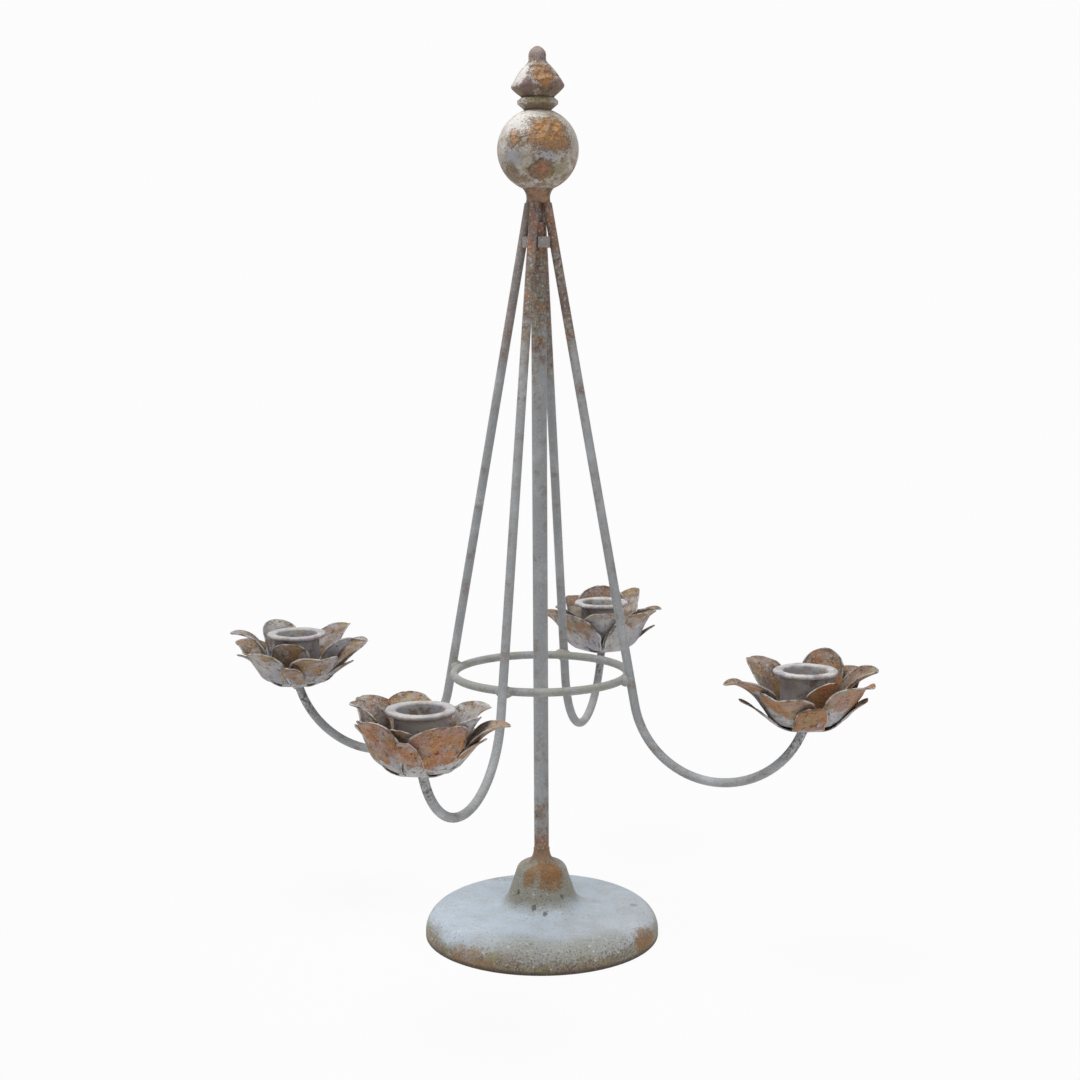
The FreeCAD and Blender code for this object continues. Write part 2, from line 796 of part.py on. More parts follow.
def make_flower_welds(arms):
    lumps = []
    for arm in ARMS:
        lump = doc.addObject("Part::Cone", f"flower_weld_{arm}")
        bind(lump, "Radius1", rod_radius)
        bind(lump, "Radius2", dim.flower_weld_radius)
        bind(lump, "Height", dim.flower_weld_height)
        move_along_arm(lump, arm, dim.flower_reach)
        bind(lump, "Placement.Base.z", dim.flower_seat_height - dim.flower_weld_height)
        lumps.append(lump)
    return make_weld_group("flower_welds", lumps, arms)


make_base_dish()
make_base_washer()
make_base_nut()
make_pole()
make_pole_weld()
arm_pieces = [make_arm(arm) for arm in ARMS]
hoop_piece = make_hoop()
make_tie_collar()
make_neck_collar()
make_finial_ball()
make_finial_collar()
make_finial_tip()
for arm_name in ARMS:
    rosette_seat = dim.flower_seat_height
    for rosette_name, kind_name in ROSETTES.items():
        rosette = make_rosette(f"{rosette_name}_{arm_name}", kind_name, rosette_seat)
        turn_upright(rosette, getattr(dim, f"{kind_name}_turn_{arm_name}") + 180 / PETAL_COUNT)
        move_along_arm(rosette, arm_name, dim.flower_reach)
        rosette_seat = rosette_seat + dim.petal_sheet
    cup = make_candle_cup(arm_name)
    turn_upright(cup, arm_angle[arm_name])
    move_along_arm(cup, arm_name, dim.flower_reach)
make_cup_rivets()
make_hoop_welds(arm_pieces, hoop_piece)
make_flower_welds(arm_pieces)
doc.recompute()

for item in doc.Objects:
    if "Invalid" in item.State or "Error" in item.State:
        raise RuntimeError(f"{item.Label} failed: {item.State}")
for piece in sub_parts:
    if piece.Shape.isNull() or not piece.Shape.isValid():
        raise RuntimeError(f"{piece.Label} has no valid shape")

os.makedirs("parts", exist_ok=True)
for piece in sub_parts:
    piece.Shape.exportStep(f"parts/{piece.Label}.step")
    print(piece.Label, len(piece.Shape.Solids), round(piece.Shape.Volume, 1))
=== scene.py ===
import math
import random

import bmesh
import bpy
from bpy.props import FloatProperty, FloatVectorProperty, IntProperty, PointerProperty
from mathutils import Matrix, Vector, noise


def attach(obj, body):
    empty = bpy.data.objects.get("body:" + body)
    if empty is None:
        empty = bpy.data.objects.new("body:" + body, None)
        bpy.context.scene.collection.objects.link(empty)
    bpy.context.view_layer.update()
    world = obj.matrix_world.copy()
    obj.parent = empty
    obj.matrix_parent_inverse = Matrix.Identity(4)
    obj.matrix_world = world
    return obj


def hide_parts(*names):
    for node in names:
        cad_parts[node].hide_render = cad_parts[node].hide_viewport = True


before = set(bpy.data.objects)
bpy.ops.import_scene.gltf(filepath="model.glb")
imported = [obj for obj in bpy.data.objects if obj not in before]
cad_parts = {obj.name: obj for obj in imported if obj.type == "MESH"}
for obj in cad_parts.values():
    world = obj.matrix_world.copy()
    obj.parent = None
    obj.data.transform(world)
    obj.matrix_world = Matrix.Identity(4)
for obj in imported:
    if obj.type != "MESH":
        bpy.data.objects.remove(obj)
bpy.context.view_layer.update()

bl_info = {
    "name": "Flower candle holder",
    "version": (1, 0, 0),
    "blender": (4, 5, 0),
    "location": "View3D > Sidebar > Candle holder",
    "description": "Dresses the packed candle holder: worn paint, bent petals, candle cups and the studio",
    "category": "Object",
}

MM_PER_METRE = 1000
# Vertices that lie nearer to each other than this become one, in metres
JOIN = 0.00001

# Angle of each arm round the pole, in degrees
ARMS = {"right": -3.5, "back": 94.0, "left": 180.0, "front": 266.5}
PETALS = 5
# Half of the angle that one petal takes up
SECTOR = math.pi / PETALS

# Angle of the first petal of each sheet, in degrees
TURNS = {
    "leaf": {"right": 71, "back": 20, "left": 1, "front": 63},
    "outer": {"right": 43, "back": 37, "left": 32, "front": 16},
    "inner": {"right": 7, "back": 1, "left": 68, "front": 52},
}
# Seeded differences between petals, in the order in which they are drawn: share of the reach, degrees of tip
# slope, metres of rise, degrees of turn, share of the width, roundness of the tip, share of the cupping,
# twist, rolled edge, rust outside and inside, and the seed of edge and dents
SPREAD = {
    "reach": (0.94, 1.02), "tip_slope": (-10, 10), "rise": (-0.0015, 0.0015), "turn": (-3, 3),
    "wide": (0.94, 1.04), "round": (1.9, 2.6), "cup": (0.6, 1.3), "twist": (-0.15, 0.15),
    "roll": (-0.1, 0.15), "rusty": (0.25, 0.75), "warm": (0.3, 0.8), "seed": (0, 50),
}
# Petals that stand out, by arm and sheet, then by number: the tip's reach and its rise over the cup's rim in
# millimetres, its slope in degrees, and what else differs
BENDS = {
    ("right", "inner"): {
        0: (36.5, 0.8, 8, {"warm": 0.45, "twist": 0.15}),
        1: (27.5, 6.5, 62, {"round": 4.5, "wide": 1.02, "warm": 0.8, "cup": 0.5}),
        2: (39.5, 0.5, 12, {"warm": 0.55, "round": 2.6}),
        3: (47, -3.3, -6, {"warm": 0.6, "round": 1.7}),
        4: (22.5, -2.2, 66, {"rusty": 0.95, "round": 3.6, "wide": 0.92, "turn": 24}),
    },
    ("right", "outer"): {
        0: (35, -3.0, 15, {"warm": 0.6}),
        2: (37, -9.5, 10, {"rusty": 0.5}),
        3: (40, -8.7, 8, {"rusty": 0.8, "round": 2.8}),
        4: (42.5, -3.2, 0, {"rusty": 0.85, "round": 2.2}),
    },
    ("right", "leaf"): {
        2: (36, -13, 24, {"rusty": 0.4}),
        3: (32.5, -12.6, 44, {"rusty": 1.0, "round": 4.0, "wide": 1.15}),
        4: (31.5, -13.4, 30, {"rusty": 0.4}),
    },
    ("left", "inner"): {
        0: (42.2, -1.5, 4, {"warm": 0.5, "round": 1.9}),
        1: (33, 2.2, 40, {"round": 5, "warm": 0.1, "wide": 0.95}),
        2: (37.5, 1.2, -5, {"warm": 0.35, "round": 1.9}),
        3: (25, -2.0, 58, {"rusty": 0.75, "round": 4, "wide": 0.95}),
        4: (45, -2.1, -8, {"warm": 0.25, "round": 2.8, "wide": 0.9}),
    },
    ("left", "outer"): {
        3: (38, -7, 14, {"rusty": 0.55, "round": 2.6}),
        4: (38, -9, 14, {"rusty": 0.85, "round": 2.8}),
    },
    ("left", "leaf"): {
        3: (34, -11.3, 10, {"rusty": 0.3}),
        4: (32.5, -14.3, 38, {"rusty": 0.9, "round": 3.5}),
    },
    ("front", "inner"): {
        0: (35, -2.5, -6, {"warm": 0.15, "turn": -10, "round": 2.3}),
        1: (34, 1.0, 40, {"warm": 0.95, "round": 5}),
        2: (33.5, 2.2, 5, {"warm": 0.4, "round": 1.9}),
        3: (26, -4, 50, {"rusty": 0.3, "round": 3.5}),
        4: (36, 1.4, 35, {"rusty": 0.1, "wide": 0.8}),
    },
    ("front", "outer"): {
        0: (42, -8, -6, {"rusty": 0.9, "warm": 0.9, "round": 1.7}),
        2: (40, 0, 6, {"warm": 0.4, "round": 2.0}),
        3: (32, -1.0, 45, {"rusty": 0.85, "round": 4, "turn": 6}),
        4: (35.5, -0.9, 45, {"rusty": 0.92, "round": 4.2, "wide": 0.93, "turn": 11}),
    },
    ("front", "leaf"): {
        2: (30.5, -6.4, 45, {"rusty": 0.3}),
        3: (33.5, -7.5, 48, {"rusty": 0.85, "round": 3, "wide": 0.9}),
        4: (34, -11, 25, {"rusty": 0.6}),
    },
    ("back", "inner"): {
        0: (38.5, -3.0, -8, {"warm": 0.45, "round": 2.4}),
        1: (44, 1.4, 10, {"warm": 0.35, "round": 1.25, "wide": 0.95}),
        2: (34, -1.5, 25, {"warm": 0.7, "round": 4}),
        3: (30, -2, 20, {"warm": 0.7, "rusty": 0.5}),
        4: (31, -2.0, 52, {"rusty": 0.25, "round": 3.5, "wide": 1.15}),
    },
    ("back", "outer"): {
        0: (36, -8, 12, {"rusty": 0.5}),
        1: (30, 5, 66, {"warm": 0.75, "round": 5, "cup": 0.5}),
        2: (42, -8.8, -8, {"warm": 0.5, "round": 1.8}),
        3: (35, -3, 45, {"rusty": 0.68, "round": 3.0, "wide": 0.95, "turn": -9}),
        4: (38, -2, 30, {"rusty": 0.55, "warm": 0.8, "round": 2.6, "wide": 0.95, "turn": 10}),
    },
    ("back", "leaf"): {
        3: (27, -10, 45, {"rusty": 0.2}),
        4: (27, -10, 45, {"rusty": 0.2}),
    },
}
# Steps of a petal's path to one mesh row, and tries to meet the wanted reach and rise
PATH_STEPS = 4
REACH_TRIES = 6
RISE_TRIES = 16
# Slopes between which a petal's own is searched, and the least angle that a bend is taken for
FLATTEST, STEEPEST = math.radians(5), math.radians(86)
LEAST_BEND = 0.05
# Share of its slot's width that a petal starts with, and how fast its blunt tip closes
START_SHARE = 0.95
TIP_POWER = 0.85
# How soon a petal's own bend, and its cupping and dents, set in along its free length
LOOSENING = 5
CUPPING_ONSET = 3
# Waves of a petal's edge: share of the width, and waves along and across
EDGE_WAVE, EDGE_ALONG, EDGE_ACROSS = 0.09, 9, 1.5
DENTS_PER_METRE = 90

# Rings of the tip: height over its foot and radius to its corners in millimetres, and roundness
TIP_RINGS = (
    (0, 0, 1.3), (0, 8.2, 1.3), (0.8, 9.0, 1.25), (2.4, 10.9, 1.2), (4.0, 12.7, 1.2), (5.2, 13.8, 1.2),
    (6.0, 14.0, 1.22), (6.9, 13.7, 1.25), (8.6, 12.6, 1.25), (10.6, 11.3, 1.25), (12.6, 9.9, 1.25),
    (14.6, 8.3, 1.3), (16.4, 6.6, 1.4), (17.8, 5.2, 1.6), (18.8, 4.6, 1.8), (20.0, 4.5, 2), (21.7, 4.6, 2),
    (23.4, 4.2, 2), (24.8, 3.1, 2), (25.7, 1.9, 2), (26.1, 0.9, 2), (26.2, 0, 2),
)
TIP_SEGMENTS = 96
# Hammer marks of the tip: depth in metres, and marks per metre
TIP_LUMP, TIP_LUMPS_PER_METRE = 0.0005, 160
# Lumps of a weld: share of its size, and lumps to a half size
WELD_LUMP, WELD_LUMPS = 0.10, 1.6
WELD_SEGMENTS, WELD_RINGS = 32, 20
# Roundings of a cup's section in metres, by corner: foot, under the rim, rim below and above, bore, floor
CUP_ROUNDS = {1: 0.005, 2: 0.0022, 3: 0.0010, 4: 0.0010, 5: 0.0012, 6: 0.0038}
CUP_STEPS, CUP_ROUND_STEPS = 72, 5
# Dents of a cup's wall and waves of its height: depth in metres, and how many per metre
CUP_DENT, CUP_DENTS_PER_METRE = 0.00045, 110
CUP_WAVE, CUP_WAVES_PER_METRE = 0.0004, 90
# Only what lies further out than the outer wall less this is dented
CUP_DENT_MARGIN = 0.0002

# How far each flower is washed over, its rust muted and its wash shaded
TONES = {
    "right": (0.3, 0.0, 0.04), "back": (0.6, 0.5, 0.02), "left": (0.8, 0.6, 0.16), "front": (0.45, 0.0, 0.05),
}
# How far each cup's rim is rubbed pale
RIMS = {"right": 0.6, "back": 0.55, "left": 0.2, "front": 0.2}
# Where a layer of paint or rust starts and where it is full, in metres of height or of distance from the pole
NECK_RUST, FOOT_RUST = (0.300, 0.335), (0.086, 0.050)
ORANGE_NECK, ORANGE_FOOT = (0.362, 0.376), (0.060, 0.048)
WELD_REACH, WELD_HEIGHT = (0.130, 0.136), (0.108, 0.118)
DISH_EDGE, DISH_FALL, HUB_FILM = (0.0030, 0.0008), (0.0165, 0.001), (0.0135, 0.025)
# The foot's pale side towards +X on the next line is painted light, and its front is moss darkened as painted
# shade
DISH_SHADED_FRONT, DISH_PAINTED_LIGHT_SIDE, POLE_WELD = (0.038, 0.062), (0.005, 0.06), (0.0405, 0.0425)
# Shares of X, Y and the distance from the pole in how far forward a place on the foot lies
FORWARD = (0.196, -0.568, 0.4)
# The same for a cup's rim and the stain under it, in metres from the cup's top
RIM_FALL, STAIN_FALL = (-0.0032, -0.0012), (-0.02, -0.004)
# Height part of the normal where a petal's outside and the finial's underside, which is given painted shade,
# start and are full
PETAL_OUTSIDE, FINIAL_PAINTED_SHADE = (0.12, -0.12), (0.05, -0.75)

# Stains on the foot: place and size in metres, flatness, strength
FOOT_STAINS = (
    ((0.0615, -0.010, 0.006), 0.012, 1.5, 0.8), ((-0.018, -0.061, 0.003), 0.016, 1.8, 0.5),
    ((0.0075, -0.0095, 0.0365), 0.0085, 0.7, 0.95), ((-0.002, -0.0125, 0.0345), 0.0050, 0.7, 0.8),
    ((0.004, 0.012, 0.034), 0.007, 0.9, 0.6), ((-0.045, 0.043, 0.006), 0.018, 1.4, 0.6),
)
# Dark pits on the hub: place and size in metres
HUB_PITS = (
    ((-0.0080, -0.0142, 0.0262), 0.0016), ((0.0020, -0.0195, 0.0205), 0.0016),
    ((0.0085, -0.0200, 0.0172), 0.0018), ((0.0142, -0.0092, 0.0245), 0.0013),
    ((-0.0125, 0.0120, 0.0240), 0.0016),
)
# Bright chip on the foot with a dark border: place, and size of border and chip
FOOT_CHIP, CHIP_BORDER, CHIP_SIZE = (0.0478, 0.0165, 0.0110), 0.0036, 0.0024
# Patches of paint and rust on the finial: place and size in metres, flatness, tone, strength
BALL_PATCHES = (
    ((-0.0039, -0.0162, 0.4360), 0.0110, 1.0, "worn", 0.7),
    ((0.0113, -0.0175, 0.4190), 0.0070, 1.6, "lavender", 0.8),
    ((-0.0070, -0.0196, 0.4190), 0.0070, 1.4, "lavender", 0.8),
    ((0.0105, -0.0166, 0.4305), 0.0155, 1.35, "ochre", 0.92),
    ((-0.0058, -0.0199, 0.4278), 0.0055, 1.0, "ochre", 0.8),
    ((0.0076, -0.0160, 0.4114), 0.0072, 1.2, "red", 0.85),
    ((0.0158, -0.0090, 0.4120), 0.0060, 1.0, "olive", 0.6),
    ((-0.0085, -0.0153, 0.4110), 0.0060, 1.0, "brown", 0.7),
    ((0.0010, 0.0200, 0.4280), 0.0110, 1.2, "ochre", 0.9),
    ((-0.0180, 0.0050, 0.4160), 0.0080, 1.2, "ochre", 0.8),
)
NECK_PATCHES = (
    ((0.0030, -0.0085, 0.3990), 0.0120, 0.7, "red", 0.75),
    ((-0.0040, 0.0080, 0.4000), 0.0100, 0.7, "ochre", 0.5),
)
TIP_PATCHES = (
    ((-0.0058, -0.0072, 0.4610), 0.0075, 0.8, "worn", 0.85),
    ((0.0065, -0.0073, 0.4612), 0.0092, 0.9, "ochre", 0.92),
    ((-0.0026, -0.0104, 0.4535), 0.0075, 1.2, "plum", 0.9),
    ((0.0111, -0.0014, 0.4545), 0.0055, 1.0, "plum", 0.85),
    ((0.0, 0.0, 0.4730), 0.0080, 0.8, "plum", 0.6),
    ((0.0040, -0.0100, 0.4465), 0.0090, 1.6, "olive", 0.75),
    ((0.0000, 0.0100, 0.4590), 0.0075, 1.0, "ochre", 0.9),
    ((-0.0080, 0.0030, 0.4530), 0.0070, 1.0, "plum", 0.8),
)

# Half of the floor's side in metres, and its colour
FLOOR_SIZE, FLOOR_COLOUR = 4.0, (0.9, 0.9, 0.9)
# Faint contact shadow: where it is full and where it ends, in metres from the pole, and its share
SHADOW_REACH, SHADOW_SHARE = (0.08, 0.30), 0.05
SKY_COLOUR = (0.97, 0.98, 1.0)
# Place and size of the lamps, and where they point, in metres
KEY_PLACE, KEY_SIZE = (-0.28, -0.25, 1.62), 0.8
FILL_PLACE, FILL_SIZE = (1.3, -0.5, 0.6), 0.9
LAMP_AIM = (0, 0, 0.24)
# Camera's sensor in millimetres, and how far it sees in metres
SENSOR, FARTHEST = 36.0, 20.0


def colour(red, green, blue):
    """A linear colour from display values of 0 to 255."""
    return tuple((value / 255) ** 2.2 for value in (red, green, blue))


def colour_property(name, description, default):
    return FloatVectorProperty(name=name, description=description, subtype="COLOR", size=3, min=0, max=1,
                               default=default)


def length_property(name, description, default):
    return FloatProperty(name=name, description=description, unit="LENGTH", subtype="DISTANCE",
                         default=default)


def angle_property(name, description, default):
    return FloatProperty(name=name, description=description, unit="ROTATION", subtype="ANGLE",
                         default=math.radians(default))


def share_property(name, description, default):
    return FloatProperty(name=name, description=description, subtype="FACTOR", default=default)


def sheet_properties(seat, flat, bend, slope, tip_slope, reach, flare, root, half_width, tip, widest,
                     cupping):
    """The properties of one stamped sheet of a flower."""
    return {
        "seat": length_property("Seat", "Height of the sheet's underside", seat),
        "flat": length_property("Flat radius", "Where the sheet starts to bend up", flat),
        "bend": length_property("Bend radius", "Radius of the bend", bend),
        "slope": angle_property("Slope", "Slope of the petals", slope),
        "tip_slope": angle_property("Tip slope", "Slope at the petals' tips", tip_slope),
        "reach": length_property("Reach", "Radius of the petals' tips", reach),
        "flare": share_property("Flare", "Share of a petal that flares", flare),
        "root": length_property("Slit root", "Radius where the slits end", root),
        "half_width": length_property("Half width", "Half of the petals' greatest width", half_width),
        "tip": length_property("Tip half width", "Half width of the blunt tips", tip),
        "widest": share_property("Widest place", "Where a petal is widest, as a share", widest),
        "cupping": share_property("Cupping", "How far the edges rise, as a share", cupping),
    }


class HolderColours(bpy.types.PropertyGroup):
    """Paint, rust and bare metal."""

    rod: colour_property("Rod paint", "Grey paint of arms, pole and hoop", colour(145, 146, 147))
    rod_pale: colour_property("Pale rod paint", "Chalky streaks on the rods", colour(178, 181, 184))
    foot: colour_property("Foot paint", "Cool grey paint of the foot", colour(176, 188, 200))
    white: colour_property("White wash", "Lower part of the petals", colour(174, 171, 167))
    lavender: colour_property("Lavender wash", "Cool tint on petals, cups and ball", colour(155, 152, 158))
    chalk: colour_property("Chalk", "Warm pale wash of the finial", colour(172, 164, 154))
    plum: colour_property("Plum", "Dark purple brown on the finial's tip and the rods", colour(104, 82, 84))
    moss: colour_property("Moss", "Grey olive film on foot, hoop and rods", colour(134, 132, 118))
    olive: colour_property("Olive wash", "Yellow green touches on the petals", colour(128, 118, 78))
    ochre: colour_property("Ochre", "Light rust", colour(160, 111, 53))
    orange: colour_property("Orange rust", "Strong rust", colour(154, 90, 43))
    red: colour_property("Red rust", "Reddest touches of rust", colour(164, 87, 56))
    brown: colour_property("Brown rust", "Old rust", colour(118, 95, 78))
    dark: colour_property("Dark rust", "Pits and cracks", colour(66, 54, 47))
    worn: colour_property("Worn edge", "Rubbed edges and scratches", colour(206, 204, 201))
    steel: colour_property("Bare steel", "Nut, washer and rivets", colour(150, 150, 154))


class LeafSizes(bpy.types.PropertyGroup):
    """Lower sheet of narrow leaves."""

    __annotations__ = sheet_properties(
        seat=0.1304, flat=0.0098, bend=0.011, slope=35, tip_slope=29, reach=0.0345, flare=0.3, root=0.0108,
        half_width=0.0071, tip=0.0022, widest=0.3, cupping=0.10)


class OuterSizes(bpy.types.PropertyGroup):
    """Outer sheet of broad petals."""

    __annotations__ = sheet_properties(
        seat=0.1312, flat=0.0092, bend=0.013, slope=45, tip_slope=10, reach=0.041, flare=0.35, root=0.0135,
        half_width=0.0148, tip=0.0012, widest=0.45, cupping=0.20)


class InnerSizes(bpy.types.PropertyGroup):
    """Inner sheet of broad petals round the cup."""

    __annotations__ = sheet_properties(
        seat=0.1320, flat=0.0080, bend=0.0095, slope=54, tip_slope=6, reach=0.039, flare=0.45, root=0.0132,
        half_width=0.0118, tip=0.0012, widest=0.42, cupping=0.22)


class FlowerSizes(bpy.types.PropertyGroup):
    """What all the flowers share."""

    reach: length_property("Flower reach", "Distance from the pole to a flower's middle", 0.146)
    sheet: length_property("Sheet", "Thickness of the petal sheet", 0.0008)
    hole: length_property("Rivet hole", "Radius of the hole in the sheets", 0.0016)
    rows: IntProperty(name="Rows", description="Mesh rows along a petal", subtype="UNSIGNED", default=30)
    columns: IntProperty(name="Columns", description="Mesh columns across a petal", subtype="UNSIGNED",
                         default=14)
    dents: length_property("Dents", "Depth of the dents in the sheet", 0.0005)
    cup_foot: length_property("Cup foot", "Height of the cup's underside", 0.1328)
    cup_top: length_property("Cup top", "Height of the cup's rim", 0.1594)
    cup_bore: length_property("Cup bore", "Radius of the candle socket", 0.0115)
    cup_wall: length_property("Cup wall", "Thickness of the cup's wall", 0.0012)
    cup_rim: length_property("Cup rim", "Outer radius of the turned rim", 0.0165)
    cup_lip: length_property("Cup lip", "Thickness of the turned rim", 0.0022)


class FinialSizes(bpy.types.PropertyGroup):
    """The forged tip."""

    tip_foot: length_property("Tip foot", "Height of the tip's underside", 0.4492)
    tip_turn: angle_property("Tip turn", "Angle of the tip's corners", 11.4)


class WeldSizes(bpy.types.PropertyGroup):
    """Welds between arms and hoop."""

    reach: length_property("Reach", "Distance from the pole to a weld's middle", 0.0490)
    level: length_property("Level", "Height of the welds", 0.146)
    depth: length_property("Depth", "Half of a weld's depth towards the pole", 0.0032)
    length: length_property("Length", "Half of a weld's length along the hoop", 0.0048)
    height: length_property("Height", "Half of a weld's height", 0.0034)


class StudioSettings(bpy.types.PropertyGroup):
    """Camera, lamps and floor."""

    azimuth: angle_property("Azimuth", "Camera's angle round the pole", 19)
    pitch: angle_property("Pitch", "How far the camera looks down", 8.3)
    distance: length_property("Distance", "Camera's level distance from the pole", 0.942)
    height: length_property("Height", "Camera's height over the table", 0.356)
    lens: FloatProperty(name="Lens", description="Focal length in millimetres", unit="CAMERA", default=59.3)
    roll: angle_property("Roll", "How far the camera leans to its side", -0.3)
    key: FloatProperty(name="Key lamp", description="Power of the large lamp", unit="POWER", default=22.0)
    fill: FloatProperty(name="Fill lamp", description="Power of the side lamp", unit="POWER", default=3.0)
    ambient: share_property("Ambient", "Strength of the even light from all round", 0.41)
    backdrop: colour_property("Backdrop", "Colour behind the holder", (0.975, 0.975, 0.975))


class HolderSettings(bpy.types.PropertyGroup):
    """All settings of the candle holder."""

    colours: PointerProperty(type=HolderColours)
    leaf: PointerProperty(type=LeafSizes)
    outer: PointerProperty(type=OuterSizes)
    inner: PointerProperty(type=InnerSizes)
    flower: PointerProperty(type=FlowerSizes)
    finial: PointerProperty(type=FinialSizes)
    weld: PointerProperty(type=WeldSizes)
    studio: PointerProperty(type=StudioSettings)


def settings():
    return bpy.context.scene.candle_holder


class Level:
    """A value that varies over a surface, usable in sums."""

    def __init__(self, owner, socket):
        self.owner = owner
        self.socket = socket

    def __add__(self, other):
        return self.owner.math("ADD", self, other)

    def __radd__(self, other):
        return self.owner.math("ADD", other, self)

    def __sub__(self, other):
        return self.owner.math("SUBTRACT", self, other)

    def __rsub__(self, other):
        return self.owner.math("SUBTRACT", other, self)

    def __mul__(self, other):
        return self.owner.math("MULTIPLY", self, other)

    def __rmul__(self, other):
        return self.owner.math("MULTIPLY", other, self)

    def over(self, other):
        """The larger of two levels."""
        return self.owner.math("MAXIMUM", self, other)

    def step(self, low, high):
        """0 at low, 1 at high, smooth between. A high under the low turns it round."""
        return self.owner.node("ShaderNodeMapRange", {"interpolation_type": "SMOOTHSTEP"},
                               {"Value": self, "From Min": low, "From Max": high}, "Result")


class Nodes:
    """Builds a node tree."""

    def __init__(self, tree):
        self.tree = tree
        self.tree.nodes.clear()

    def node(self, kind, options, inputs, output=None):
        """Add one node: its options first, then the values or links of its sockets."""
        made = self.tree.nodes.new(kind)
        for option, value in options.items():
            setattr(made, option, value)
        for name, value in inputs.items():
            socket = made.inputs[name]
            if isinstance(value, Level):
                self.tree.links.new(value.socket, socket)
            elif socket.type == "RGBA":
                socket.default_value = (*value[:3], 1)
            else:
                socket.default_value = value
        return None if output is None else Level(self, made.outputs[output])

    def math(self, operation, first, second):
        return self.node("ShaderNodeMath", {"operation": operation}, {0: first, 1: second}, 0)

    def mix(self, first, second, share):
        """Blend two colours."""
        return self.node("ShaderNodeMix", {"data_type": "RGBA"}, {0: share, 6: first, 7: second}, 2)

    def blend(self, first, second, share):
        """Blend two shaders."""
        return self.node("ShaderNodeMixShader", {}, {0: share, 1: first, 2: second}, 0)

    def seen(self):
        """1 where the camera looks, straight, in a mirror or through glass."""
        rays = [self.node("ShaderNodeLightPath", {}, {}, f"Is {kind} Ray")
                for kind in ("Camera", "Glossy", "Transmission")]
        return rays[0].over(rays[1]).over(rays[2])


